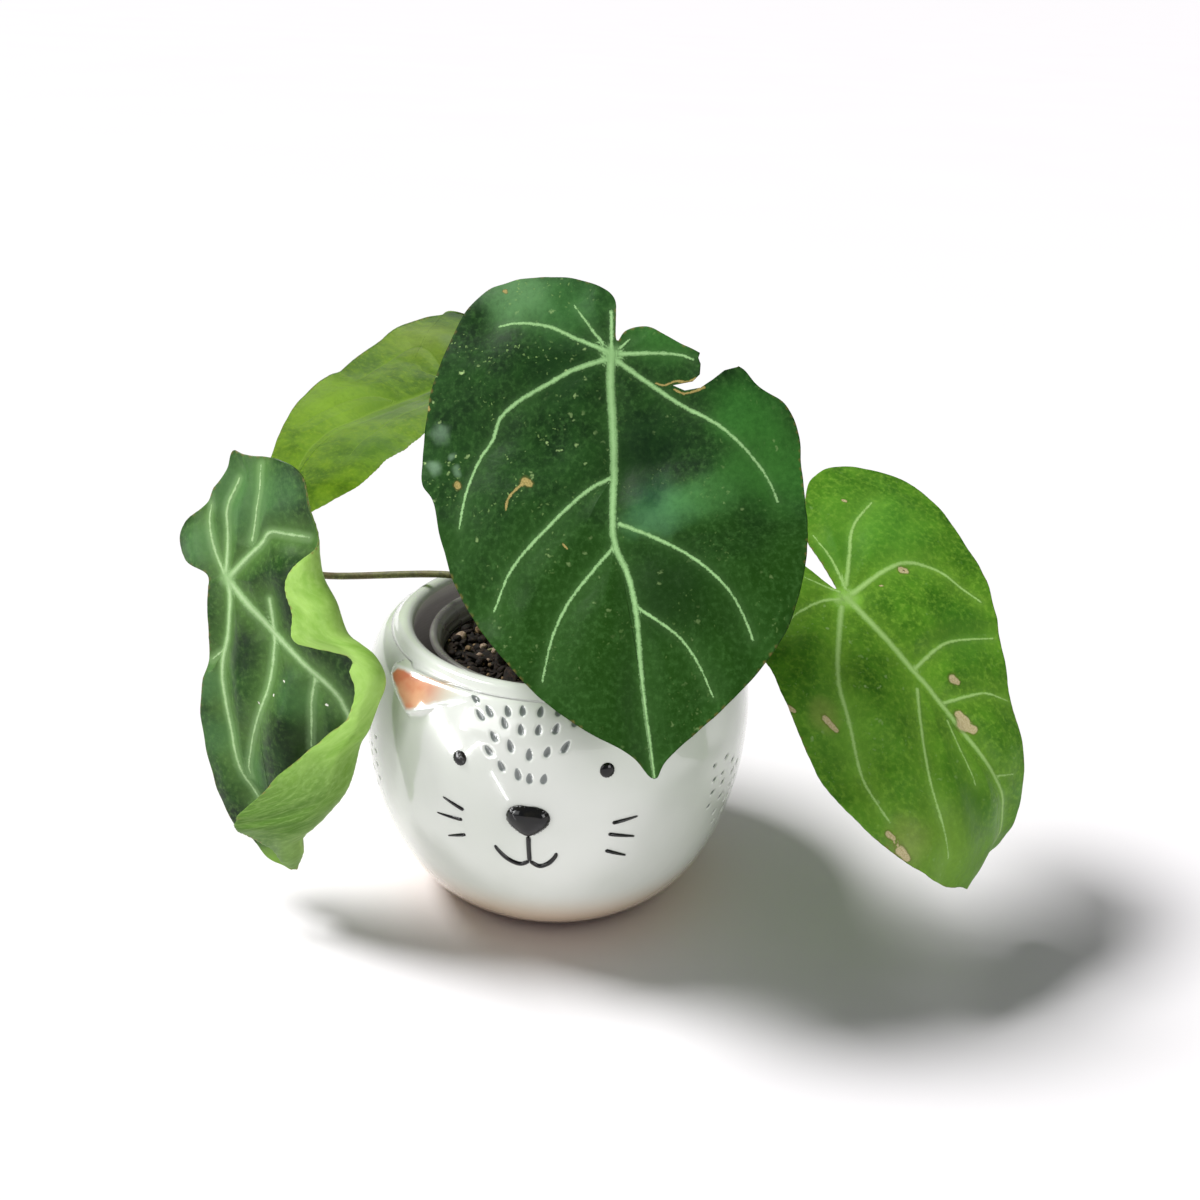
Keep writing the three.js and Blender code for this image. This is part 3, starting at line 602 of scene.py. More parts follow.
def leaf_skin(name, dark, mid, light, vein, core, rim="#7a6a3a", speck=0.5, gloss=0.4, shine=0.2, lines=0.08,
              vein_share=0.92, glow=0.35, patches=(), lower=None, mottle=0.45, fringe=0.08,
              tan=("#7f693c", "#9f8858")):
    """A blade's surface: clouded green, a soft net of veins, pale main veins, specks and damage, and patches
    of colour, which on some blades are painted sheen and painted shade.
    """
    f = Finish(name, Specular_IOR_Level=shine)
    x, y, edge = f.split(f.data("blade"))
    across, down, half = f.split(f.data("vein"))
    scar_x, scar_y, scar_half = f.split(f.data("scar"))
    flat = f.add("ShaderNodeCombineXYZ", None, {0: x, 1: y})
    cloud = f.noise(0.05, 4, flat, 0.6, 0.6)
    soft = f.noise(0.16, 3, flat, 0.55, 0.4)
    fine = f.noise(0.6, 5, flat, 0.65)
    tiny = f.noise(2.4, 3, flat, 0.6)
    vein_gap, scar_gap, _ = f.split(f.data("gaps"))
    far = ((across * across + down * down) ** 0.5).most(vein_gap)
    ragged = far + (fine - 0.5) * 1.1 + (tiny - 0.5) * 0.6
    over = ragged / half
    body = over.step(1.35, 0.6) * vein_share * (fine * 0.5 + 0.75).least(1)
    middle = over.step(0.7, 0.1) * vein_share
    halo = (far + (soft - 0.5) * 6).step(8.5, 0.8)
    net = f.cells(0.2, f.warp(flat, 0.14, 4), "DISTANCE_TO_EDGE").step(0.16, 0.0)
    colour = f.mix((cloud * 0.6 + soft * 0.4).step(0.38, 0.62), dark, mid)
    if lower:
        colour = f.mix((x + (cloud - 0.5) * 40).step(30, 75), colour, lower)
    colour = f.mix(fine.step(0.44, 0.74) * mottle, colour, light)
    colour = f.mix(halo * glow, colour, light)
    colour = f.mix(net * lines, colour, light)
    # Patches: the blade's own blotches, and on some blades painted sheen and painted shade as well.
    for px, py, radius, code, share in patches:
        blot = f.near(f.warp(flat, 0.12, 7), (px, py, 0), radius)
        colour = f.mix(blot * (fine * 1.2 + 0.4).least(1) * share, colour, code)
    shaken = f.warp(flat, 0.7, 2.2)
    ragged_spot = (fine - 0.5) * 0.5
    dots = (f.cells(0.26, shaken) + ragged_spot).step(0.19, 0.06)
    dots = dots * f.noise(0.05, 2, flat).step(0.48, 0.62)
    crumbs = (f.cells(0.62, shaken) + ragged_spot).step(0.24, 0.08)
    crumbs = crumbs * f.noise(0.07, 2, f.shift(flat, (40, 9, 0))).step(0.5, 0.62)
    place = (y * -1).step(-4, 30) * x.step(70, 20) + 0.35
    colour = f.mix(dots * place * speck, colour, "#9fbd7a")
    colour = f.mix(crumbs * place * speck * 0.8, colour, "#7f9f5c")
    colour = f.mix((far + (fine - 0.5) * 1.5).step(2.4, 0.5) * fringe, colour, vein)
    colour = f.mix(body, colour, vein)
    colour = f.mix(middle * 0.8, colour, core)
    heart = ((x * x + y * y) ** 0.5 + (fine - 0.5) * 3).step(4.2, 1.0)
    colour = f.mix(heart * vein_share * 0.75, colour, vein)
    brown = edge.step(1.0, 0.2) * f.noise(0.09, 3, flat).step(0.47, 0.6)
    colour = f.mix(brown * 0.7, colour, rim)
    scar_far = ((scar_x * scar_x + scar_y * scar_y) ** 0.5).most(scar_gap)
    hurt = (scar_far + (fine - 0.5) * 0.9 + (tiny - 0.5) * 0.5) / scar_half
    colour = f.mix(hurt.step(1.5, 1.0) * 0.4, colour, "#5a5226")
    colour = f.mix(hurt.step(1.0, 0.7), colour, f.mix(tiny.step(0.35, 0.6), tan[0], tan[1]))
    f.wear(colour, gloss + (fine - 0.5) * 0.2 + body * 0.12,
           fine * 0.2 + tiny * 0.12 + net * -0.1 + body * 0.3 + soft * 0.35, 0.3, 0.7)
    return f


# Pot

POT = dict(height=90.0, belly=60.0, belly_z=61.5, base=28.0, rim=50.0, lip=5.5, wall=5.0, floor=6.0)


def outer_profile():
    """The pot's outside from the middle of its base to its lip, in steps of about a millimetre."""
    p = POT
    line = [(0.0, 0.0), (12.0, 0.0), (22.0, 0.0), (26.6, 0.0), (27.6, 0.35), (28.3, 1.0)]
    for turn in np.linspace(0, math.pi / 2, 76)[3:]:
        line.append((p["base"] + (p["belly"] - p["base"]) * math.sin(turn),
                     p["belly_z"] * (1 - math.cos(turn))))
    lip_z = p["height"] - p["lip"] / 2
    for turn in np.linspace(0, math.pi / 2, 32)[1:]:
        line.append((p["rim"] + (p["belly"] - p["rim"]) * math.cos(turn),
                     p["belly_z"] + (lip_z - p["belly_z"]) * math.sin(turn)))
    return np.array(line)


def pot_profile():
    p = POT
    lip, lip_z = p["lip"] / 2, p["height"] - p["lip"] / 2
    line = outer_profile().tolist()
    line[-2:] = [(51.4, 87.0), (50.5, 87.6), (49.9, 88.3)]
    for turn in np.linspace(0.55, math.pi, 15):
        line.append((p["rim"] - lip + lip * math.cos(turn), lip_z + lip * math.sin(turn)))
    belly, rim, base = p["belly"] - p["wall"], p["rim"] - p["lip"], p["base"] - p["wall"] / 2
    for turn in np.linspace(math.pi / 2, 0, 15)[1:]:
        line.append((rim + (belly - rim) * math.cos(turn),
                     p["belly_z"] + (lip_z - p["wall"] - p["belly_z"]) * math.sin(turn)))
    for turn in np.linspace(math.pi / 2, 0, 21)[1:]:
        line.append((base + (belly - base) * math.sin(turn),
                     p["floor"] + (p["belly_z"] - p["floor"]) * (1 - math.cos(turn))))
    return line + [(10.0, p["floor"]), (0.0, p["floor"])]


SIDE = outer_profile()[5:]
CHART_RADIUS = 54.0
BRIM = 87.2  # the highest place of the ears


def side_radius(z):
    """The pot's outer radius at a height."""
    return np.interp(z, SIDE[:, 1], SIDE[:, 0])


def pot_point(angle, z, out):
    """A place on the pot's outside, at an angle in degrees from the middle of the face."""
    turn = np.radians(angle)
    lean = np.arctan(side_radius(z + 0.5) - side_radius(z - 0.5))
    radius = side_radius(z) + out * np.cos(lean)
    return np.stack([radius * np.sin(turn), -radius * np.cos(turn), z - out * np.sin(lean)], -1)


# On the pot's outside: angle in degrees from the middle of the face, and height.
EAR = [(-52.5, 86.6), (-50.5, 83.6), (-45.5, 80.4), (-39.2, 76.2), (-36.0, 77.4), (-29, 81.5), (-20, 85.6),
       (-18, 87.0), (-30, BRIM), (-44, BRIM)]
EAR_PAINT = [(-49.2, 84.2), (-44.5, 81.6), (-39.0, 77.8), (-36.0, 79.0), (-30, 82.6), (-20, 86.6),
             (-30, BRIM), (-44, 86.6), (-48.5, 86.0)]
# Rows of forehead marks: height, sag, first angle, step, count. Columns of side dashes: angle, top, count.
MARK_ROWS = [(67.5, 0.05, -11.6, 3.9, 5), (75.0, 0.03, -16.2, 5.1, 6), (80.8, 0.018, -19.0, 5.2, 7),
             (85.2, 0.0, -8.4, 5.2, 5)]
DASH_COLUMNS = [(57.5, 60.6, 4), (63.5, 60.4, 6), (69.3, 57.2, 5), (74.5, 53.2, 3)]
# Parts with finer faces: lowest and highest angle, lowest and highest place, cuts.
FINE_PARTS = [(-25, 25, 63.5, 87.3, 2), (-57, -26, 73, 87.3, 1), (26, 57, 73, 87.3, 1), (47, 78, 26, 70, 2),
              (-78, -47, 26, 70, 2)]


def chart(angle, z):
    """Millimetres round the pot and up along its side."""
    up = np.concatenate([[0], np.cumsum(np.linalg.norm(np.diff(SIDE, axis=0), axis=1))])
    return np.stack([np.radians(angle) * CHART_RADIUS, np.interp(z, SIDE[:, 1], up)], -1)


def inset(flat, corners):
    """How far each place lies inside a polygon on the pot, less than 0 outside it."""
    corners = chart(*np.array(corners, float).T)
    far = np.full(len(flat), 1e9)
    for a, b in zip(corners, np.roll(corners, -1, axis=0)):
        step = b - a
        share = np.clip(((flat - a) * step).sum(-1) / (step * step).sum(), 0, 1)
        far = np.minimum(far, np.linalg.norm(flat - a - share[:, None] * step, axis=1))
    return np.where(inside(flat, [tuple(c) for c in corners]), far, -far)


def forehead_marks():
    """Small leaf-shaped marks in sagging rows that narrow downwards, leaning outwards from the middle."""
    chance = random.Random(4)
    marks = []
    for low, sag, first, step, count in MARK_ROWS:
        for k in range(count):
            angle = first + step * k + chance.uniform(-0.5, 0.5)
            z = low + sag * angle ** 2 + chance.uniform(-0.6, 0.6)
            marks.append((angle, min(z, 86.0), 2.0 * chance.uniform(0.85, 1.12), 0.95, 0.055 * angle))
    return marks


def side_marks():
    """Short slanted dashes in upright columns, the same on both sides."""
    chance = random.Random(9)
    marks = []
    for middle, top, count in DASH_COLUMNS:
        for k in range(count):
            angle, z = middle + chance.uniform(-1.2, 1.2), top - 4.7 * k + chance.uniform(-0.7, 0.7)
            size = chance.uniform(0.75, 1.3)
            marks += [(angle, z, size, 0.5, 1.1), (-angle, z, size, 0.5, -1.1)]
    return marks


def mark_field(flat, marks):
    """1 in the middle of the nearest mark, 0 at its border and less outside it."""
    best = np.full(len(flat), -4.0)
    for angle, z, half_long, half_wide, lean in marks:
        gap = flat - chart(angle, min(z, 86.9))
        along = gap[:, 1] * math.cos(lean) + gap[:, 0] * math.sin(lean)
        over = gap[:, 0] * math.cos(lean) - gap[:, 1] * math.sin(lean)
        taper = half_wide * (1 - 0.3 * np.clip(along / half_long, -1, 1))
        best = np.maximum(best, 1 - (along / half_long) ** 2 - (over / taper) ** 2)
    return best


def refine(bm, low_angle, high_angle, low, high, cuts):
    """Finer faces in one part of the pot's outside."""
    edges = []
    for edge in bm.edges:
        middle = (edge.verts[0].co + edge.verts[1].co) / 2
        angle = math.degrees(math.atan2(middle.x, -middle.y))
        outer = middle.xy.length > (46.2 if middle.z < 50 else 50.2)
        if outer and low < middle.z < high and low_angle < angle < high_angle:
            edges.append(edge)
    bmesh.ops.subdivide_edges(bm, edges=edges, cuts=cuts, use_grid_fill=True)


def pot_piece(finishes):
    """The cachepot's body: turned, with raised ears, dented marks and slightly uneven walls."""
    bm = turned(pot_profile(), 240)
    for face in bm.faces:
        middle = face.calc_center_median()
        mouth = middle.xy.length < 44.6 and middle.z > 82
        wall = face.normal.xy.dot(middle.xy) < 0 and 7 < middle.z < 86
        bottom = middle.z < 7 and face.normal.z > 0.5
        face.material_index = int(mouth or wall or bottom)
    for part in FINE_PARTS:
        refine(bm, *part)
    spots = places(bm)
    z = spots[:, 2]
    radius = np.hypot(spots[:, 0], spots[:, 1])
    angle = np.degrees(np.arctan2(spots[:, 0], -spots[:, 1]))
    outside = (radius > side_radius(z) - 1.2) & (z > 1)
    flat = chart(angle, np.minimum(z, BRIM))
    marks = np.where(outside, mark_field(flat, forehead_marks() + side_marks()), -4)
    paint = np.full(len(spots), -9.0)
    height = np.zeros(len(spots))
    for side in (1, -1):
        rise = 2.9 * ease(-side * angle, 22, 50) + 0.25
        height = np.maximum(height, rise * ease(inset(flat, np.array(EAR) * (side, 1)), -0.5, 1.3))
        paint = np.maximum(paint, inset(flat, np.array(EAR_PAINT) * (side, 1)))
    height = np.where(outside | (z > 87), height, 0) * (1 - ease(z, 87.0, 89.2))
    dent = np.where(outside, 0.4 * ease(marks, -0.25, 0.6) * ease(z, 86.8, 85.6), 0)
    uneven = 0.25 * wander(spots, 30, 2) * (z > 6)
    lift = np.where(outside, height - dent + uneven, 0)
    outward = np.column_stack([spots[:, :2] / np.maximum(radius, 1)[:, None], 0.35 * ease(z, 62, 88)])
    move_to(bm, spots + outward * lift[:, None])
    finished("cachepot_body", bm, finishes, "cachepot",
             {"marks": np.column_stack([marks, paint, np.abs(angle)])})


def glaze():
    """White glaze with a faint green cast over pale clay, with painted ears and inked marks."""
    f = Finish("glaze", Coat_Weight=1.0, Coat_Roughness=0.03, Coat_IOR=1.55, Specular_IOR_Level=0.5)
    z = f.split(f.place)[2]
    marks, paint, angle = f.split(f.data("marks"))
    cloud = f.noise(22, 3)
    fine = f.noise(700, 3)
    colour = f.mix(cloud.step(0.3, 0.7), "#cfd4ca", "#dcdfd8")
    low = z.step(0.026, 0.006)
    colour = f.mix(low * 0.85, colour, "#dcbb98")
    grain = f.noise(300, 4)
    patchy = paint + (grain - 0.5) * 1.4
    fade = angle.step(18, 36)
    orange = f.mix(f.noise(120, 3).step(0.35, 0.65), "#cf6a42", "#dc9a72")
    orange = f.mix((angle + (cloud - 0.5) * 10).step(40, 27), orange, "#c3b899")
    colour = f.mix(patchy.step(-0.2, 1.1) * fade * 0.92, colour, orange)
    ink = marks.step(-0.05, 0.35)
    colour = f.mix(ink * 0.85, colour, f.mix(marks.step(0.2, 0.9), "#5c6866", "#323c3c"))
    foot = z.step(0.0036, 0.0022)
    colour = f.mix(foot, colour, "#8f5c3a")
    pits = f.cells(260).step(0.08, 0.03) * f.noise(60, 2).step(0.6, 0.7)
    colour = f.mix(pits * 0.5, colour, "#a39c8c")
    f.wear(colour, 0.16 + foot * 0.6 + fine * 0.04,
           f.noise(55, 2) * 0.75 + f.noise(170, 2) * 0.3 + fine * 0.012, 0.9, 0.35)
    f.link("Coat Weight", 1 - foot)
    return f


def inner_glaze():
    """Greyer, ringed glaze, with a faint glow that stands in for light bouncing between the walls."""
    f = Finish("inner_glaze", Coat_Weight=0.6, Coat_Roughness=0.12, Emission_Strength=0.16)
    z = f.split(f.place)[2]
    cloud = f.noise(40, 4)
    colour = f.mix(cloud.step(0.35, 0.7), "#a9a6a0", "#bdbab4")
    rings = (z * 4200 + cloud * 2).sine() * 0.5 + 0.5
    colour = f.mix(rings * 0.1, colour, "#7a7874")
    f.wear(colour, 0.3 + cloud * 0.2, f.noise(90, 3), 0.6, 0.4)
    # The painted glow, standing in for bounced light, is brighter towards the mouth.
    f.link("Emission Color", f.mix(z.step(0.05, 0.085), "#3a3836", "#b4aeaa"))
    return f


SUNK = 0.1  # how deep a raised drop of glaze stands in the pot's side


def on_pot(bm, angle, z):
    """Lays a small flat shape on the pot: x to the right, y up, its own z as its height."""
    x, y, high = places(bm).T
    move_to(bm, pot_point(angle + np.degrees(x / POT["belly"]), z + y, high - SUNK))
    face_out(bm)


def dome(outline, hub, height, around, rings):
    """A raised drop of glaze inside an outline, closed underneath."""
    bm = disc(outline, hub, around, rings, 0.05)
    bmesh.ops.solidify(bm, geom=bm.faces[:], thickness=0.001)
    spots = places(bm)
    flat, top = spots[:, :2], spots[:, 2] > spots[:, 2].mean()
    far = np.min([np.hypot(*(flat - point).T) for point in outline[::2]], axis=0)
    crown = height * np.sqrt(1 - (1 - far / far.max()) ** 2.2)
    move_to(bm, np.column_stack([flat, np.where(top, crown, -0.5)]))
    face_out(bm)
    return bm


NOSE_OUTLINE = [(-0.2, 5.0), (2.6, 4.9), (5.2, 3.6), (6.2, 1.4), (5.6, -0.8), (3.6, -3.0), (1.6, -4.5),
                (0, -5.0), (-1.6, -4.5), (-3.6, -3.0), (-5.6, -0.8), (-6.2, 1.4), (-5.2, 3.8), (-2.8, 5.0)]
WHISKERS = [((-25.4, 55.8), (-18.6, 53.5)), ((-28.0, 49.3), (-19.2, 49.9)), ((-24.9, 42.0), (-18.6, 44.8)),
            ((30.1, 53.5), (22.6, 52.5)), ((29.8, 46.3), (21.7, 48.8)), ((27.9, 39.5), (21.3, 42.8))]
MOUTH = [[(-0.2, 48.6), (-0.1, 44), (0.1, 39.2)],
         [(0.1, 39.4), (-2.6, 37.9), (-6.2, 39.3), (-9.0, 42.2), (-9.8, 43.8)],
         [(0.1, 39.4), (2.8, 37.7), (5.4, 38.9), (7.2, 41.4), (7.6, 43.1)]]


def stroke(points, radii, out):
    """A line of raised dark glaze drawn on the pot."""
    share = np.linspace(0, 1, 24)
    path = pot_point(*spaced(through(points, 10), share).T, out)
    widths = np.interp(share, np.linspace(0, 1, len(radii)), radii)
    widths = widths * np.sqrt(np.clip(1 - np.abs(2 * share - 1) ** 14, 0, 1))
    return stalk(path, widths, 12)


def face_pieces(ink):
    """The nose, the eyes, and the mouth with the whiskers, raised from the pot's side."""
    shape = dome(through(NOSE_OUTLINE, 10, closed=True), (0, 0.4), 2.6, 96, 22)
    on_pot(shape, -0.3, 53.8)
    finished("nose", shape, [ink], "cachepot")
    turn = np.linspace(0, 2 * math.pi, 65)
    ring = np.column_stack([2.1 * np.cos(turn), 2.2 * np.sin(turn)])
    for name, angle in (("left_eye", -20.0), ("right_eye", 20.6)):
        shape = dome(ring, (0, 0), 0.9, 48, 10)
        on_pot(shape, angle, 70)
        finished(name, shape, [ink], "cachepot")
    shapes = [stroke(MOUTH[0], (0.75, 0.7, 0.7), 0.05)]
    shapes += [stroke(MOUTH[k], (0.7, 0.8, 0.75, 0.55), 0.05) for k in (1, 2)]
    shapes += [stroke(points, (0.28, 0.5, 0.6), 0.02) for points in WHISKERS]
    finished("mouth_and_whiskers", joined(shapes), [ink], "cachepot")


def ink_glaze():
    f = Finish("ink_glaze", Coat_Weight=0.7, Coat_Roughness=0.03, Specular_IOR_Level=0.1)
    cloud = f.noise(300, 3)
    f.wear(f.mix(cloud.step(0.4, 0.7), "#07080a", "#15140f"), 0.18 + cloud * 0.1, f.noise(240, 2), 0.3, 0.4)
    return f


# Nursery pot, medium, stem

NURSERY_BASE, NURSERY_WALL = 6.3, 1.1
NURSERY_FOOT, NURSERY_SHOULDER, NURSERY_HEIGHT = 23.5, 37.8, 79
MEDIUM_TOP = 78.5


def nursery_radius(up):
    grown = (np.maximum(up, 0) / NURSERY_HEIGHT) ** 0.55
    return NURSERY_FOOT + (NURSERY_SHOULDER - NURSERY_FOOT) * grown


def nursery_piece(finish):
    """The clear inner pot: a ringed wall, a rolled rim and a flat base."""
    base, wall = NURSERY_BASE, NURSERY_WALL
    ups = np.linspace(0, 76, 150)
    wave = 0.3 * np.sin(ups * 2.4) * ease(ups, 40, 60)
    outer = [(float(nursery_radius(u) + w), float(base + u)) for u, w in zip(ups, wave)]
    rim = [(38.6, 83.0), (39.8, 83.3), (40.0, 84.2), (39.6, 85.1), (38.9, 85.3), (38.1, 84.9), (37.2, 84.0)]
    inner = [(radius - wall, z) for radius, z in outer[:2:-1]]
    profile = [(0.0, base), (10.0, base)] + outer + rim + inner + [(21.5, base + wall), (0.0, base + wall)]
    finished("nursery_pot_clear", turned(profile, 160), [finish], "nursery_pot")


def clear_plastic():
    f = Finish("clear_plastic", Transmission_Weight=0.45, IOR=1.45, Coat_Weight=0.4, Coat_Roughness=0.08)
    z = f.split(f.place)[2]
    haze = f.noise(60, 4)
    ring = ((z + haze * 0.0006) * 2600).sine() * 0.5 + 0.5
    colour = f.mix(haze.step(0.4, 0.7), "#a8a5a2", "#cfcdca")
    f.wear(f.mix(ring.step(0.35, 0.9) * 0.7, colour, "#77736f"), 0.14 + haze * 0.3,
           ring * 0.5 + haze * 0.3, 0.4, 0.6)
    return f


def medium_height(x, y):
    return MEDIUM_TOP + 1.1 * (np.sin(0.21 * x + 1) * np.cos(0.19 * y) + 0.6 * np.sin(0.37 * x - 0.31 * y))


def soil_piece(finish):
    """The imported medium: its body with a broken, crumbly top."""
    rows = [(float(r), MEDIUM_TOP) for r in np.linspace(0, 35.4, 46)]
    sides = [(float(nursery_radius(z - NURSERY_BASE) - 1.35), float(z)) for z in np.linspace(77.6, 8.4, 30)]
    bm = turned(rows + sides + [(10.0, 8.0), (0.0, 8.0)], 150)
    spots = places(bm)
    radius = np.hypot(spots[:, 0], spots[:, 1])
    rough = 0.9 * wander(spots, 3.2, 1) + 0.6 * wander(spots, 1.4, 2) + 0.5 * wander(spots, 7, 3)
    lift = medium_height(spots[:, 0], spots[:, 1]) - MEDIUM_TOP - 0.5 + rough * ease(radius, 36, 33)
    spots[:, 2] += np.where(spots[:, 2] > MEDIUM_TOP - 0.5, lift, 0)
    move_to(bm, spots)
    finished("soil_bed", bm, [finish], "growing_medium")


def lump(chance, size, kind):
    """One crumb, chip or pumice grain, with a few dozen faces."""
    bm = bmesh.new()
    if kind == "chip":
        bmesh.ops.create_cube(bm, size=1)
        bmesh.ops.bevel(bm, geom=bm.edges[:], offset=0.16, segments=1, profile=0.5, affect="EDGES",
                        material=-1)
        stretch = (size * chance.uniform(1.5, 2.6), size * chance.uniform(0.7, 1.1), size * 0.4)
    else:
        bmesh.ops.create_icosphere(bm, subdivisions=2 if size > 1.7 else 1, radius=0.55)
        stretch = (size * chance.uniform(0.8, 1.2), size * chance.uniform(0.7, 1.1), size * 0.8)
    spots = places(bm)
    move_to(bm, spots * (1 + 0.35 * wander(spots, 0.5, chance.random() * 9))[:, None] * stretch)
    return bm


def crumb_pieces(finish):
    """Bark, pumice and soil crumbs strewn over the bed."""
    chance = random.Random(31)
    shapes, tints = [], []
    for number in range(1150):
        radius = 35.2 * math.sqrt(chance.uniform(0.05, 1))
        turn = chance.uniform(0, 2 * math.pi)
        x, y = radius * math.cos(turn), radius * math.sin(turn)
        pick = chance.random()
        big = number % 5 == 0
        size = chance.uniform(2.2, 4.6) if big else chance.uniform(0.8, 2.0)
        kind = "chip" if pick < 0.4 else "grain"
        if radius + size > 35.6:
            continue
        shape = lump(chance, size, kind)
        z = float(medium_height(x, y)) - 0.1 + size * chance.uniform(-0.05, 0.28)
        tilt = Matrix.Rotation(chance.uniform(0, 6.3), 4, "Z")
        tilt = tilt @ Matrix.Rotation(chance.gauss(0, 0.45), 4, "X")
        tilt = tilt @ Matrix.Rotation(chance.gauss(0, 0.35), 4, "Y")
        bmesh.ops.transform(shape, matrix=Matrix.Translation((x, y, z)) @ tilt, verts=shape.verts[:])
        shapes.append(shape)
        tints.append(chance.uniform(0, 0.45) if kind == "chip" else chance.uniform(0.0, 1.0) ** 1.7)
    finished("bark_and_pumice", joined(shapes, tints), [finish], "growing_medium")


def soil():
    f = Finish("soil", Specular_IOR_Level=0.3)
    fine, coarse = f.noise(900, 6), f.noise(220, 4)
    colour = f.mix(coarse.step(0.4, 0.65), "#14100c", "#2e241b")
    f.wear(f.mix(fine.step(0.58, 0.75), colour, "#5a4734"), 0.7 + fine * 0.3, fine + coarse, 0.8, 0.9)
    return f


def bark_and_pumice():
    f = Finish("bark_and_pumice", Specular_IOR_Level=0.3)
    tint = f.data("tint", "Fac")
    fine, streak = f.noise(1100, 5), f.noise(420, 4, None, 0.7, 1.5)
    dark = f.mix(streak.step(0.4, 0.65), "#0f0b08", "#2e2016")
    tan = f.mix(streak.step(0.35, 0.65), "#5e4a34", "#8f7858")
    pink = f.mix(fine.step(0.4, 0.65), "#8a7464", "#b8a590")
    colour = f.mix(tint.step(0.5, 0.56), dark, tan)
    colour = f.mix(tint.step(0.78, 0.84), colour, pink)
    colour = f.mix(fine.step(0.62, 0.72) * 0.5, colour, "#241b14")
    f.wear(colour, 0.65 + fine * 0.3, fine + streak, 0.5, 0.8)
    return f


# Foot's angle on the stem in degrees, places on the way, and the leaf.
PETIOLES = dict(
    front=(-60, [[5, 4, 118], [9, 6, 148]], FRONT),
    right=(0, [[16, 2, 98], [42, 8, 105], [70, 9, 101]], RIGHT),
    left=(150, [[-18, 8, 93.5], [-38, 14, 94.5], [-76, 14, 91], [-91, 4, 97]], LEFT),
    back=(90, [[-9, 14, 112], [-27, 29, 138]], BACK))


def petiole_piece(key, finish):
    """A leaf stalk, swollen at its foot and at the knee below the blade."""
    angle, ways, leaf = PETIOLES[key]
    start, _, up = Sheet(leaf).frame(np.array([0.0]))
    attach, up = start[0], up[0]
    turn = math.radians(angle)
    foot = np.array([4.2 * math.cos(turn), 4.2 * math.sin(turn), 0])
    points = [foot + [0, 0, 85.5], foot * 1.1 + [0, 0, 91], *ways, attach - 7 * up, attach - 0.75 * up]
    share = np.linspace(0, 1, 110)
    path = spaced(through(points, 24), share)
    length = np.linalg.norm(np.diff(path, axis=0), axis=1).sum()
    along = share * length
    radius = 1.12 + 1.5 * np.exp(-(along / 7) ** 2) + 0.32 * np.exp(-((length - along - 5) / 4.5) ** 2)
    radius = radius + 0.03 * wander(path, 3, 4)
    radius[0] = radius[-1] = 0
    path[0], path[-1] = path[1], path[-2]
    path[0] = path[0] + (path[1] - path[2]) * 0.01
    path[-1] = path[-1] + (path[-2] - path[-3]) * 0.01
    finished(f"petiole_{key}_stalk", stalk(path, radius, 28, 0.92), [finish], f"petiole_{key}")


def stalk_skin():
    f = Finish("stalk_skin", Specular_IOR_Level=0.4)
    streak = f.noise(500, 4, None, 0.6, 1.0)
    colour = f.mix(streak.step(0.35, 0.65), "#5c5a3a", "#7d7a4d")
    colour = f.mix(f.noise(90, 3).step(0.5, 0.7) * 0.7, colour, "#6b4f3a")
    lenticels = f.cells(700).step(0.12, 0.05)
    colour = f.mix(lenticels * 0.5, colour, "#a29b72")
    f.wear(colour, 0.42 + streak * 0.2, streak + lenticels * 0.3, 0.15, 0.6)
    return f


def stem_piece(finish):
    """The short upright stem with its ringed leaf scars and torn papery sheaths."""
    zs = np.linspace(58, 87, 70)
    rings = 0.35 * np.abs(np.sin((zs - 58) / 4.4 * math.pi)) ** 0.4
    radius = 6.6 + rings + 0.5 * ease(zs, 76, 84) - 3.2 * ease(zs, 83.5, 87) ** 2
    profile = [(0.0, 58.0)] + [(float(r), float(z)) for r, z in zip(radius, zs)] + [(0.0, 87.0)]
    bm = turned(profile, 64)
    spots = places(bm)
    shake = 1 + 0.05 * wander(spots, 4, 6) + 0.03 * wander(spots, 1.6, 7)
    spots[:, :2] *= np.minimum(shake, 1.04)[:, None]
    move_to(bm, spots)
    finished("stem_core", bm, [finish], "stem")
    chance = random.Random(12)
    shapes = []
    for k in range(7):
        turn = k * 0.95 + chance.uniform(-0.2, 0.2)
        tall, wide = chance.uniform(7, 11.5), chance.uniform(3.4, 5.2)
        lean = chance.uniform(0.02, 0.16)
        outline = [(wide / 2 * math.cos(t) * (1 - 0.5 * max(math.sin(t), 0)), tall / 2 * math.sin(t))
                   for t in np.linspace(0, 2 * math.pi, 49)]
        bm = disc(outline, (0, 0), 48, 8, 0.1)
        bmesh.ops.solidify(bm, geom=bm.faces[:], thickness=0.18)
        spots = places(bm)
        up = spots[:, 1] + tall / 2
        ring = 6.75 + lean * up + spots[:, 2] + 0.3 * np.sin(spots[:, 0] * 3)
        around = turn + spots[:, 0] / 6.6
        move_to(bm, np.column_stack([ring * np.cos(around), ring * np.sin(around), 79.5 + up]))
        face_out(bm)
        shapes.append(bm)
    finished("stem_sheaths", joined(shapes), [papery()], "stem")


def papery():
    f = Finish("papery", Specular_IOR_Level=0.25)
    streak = f.noise(650, 5, None, 0.65, 1.2)
    f.wear(f.mix(streak.step(0.35, 0.7), "#5b432c", "#a08458"), 0.6 + streak * 0.3, streak, 0.3, 0.8)
    return f


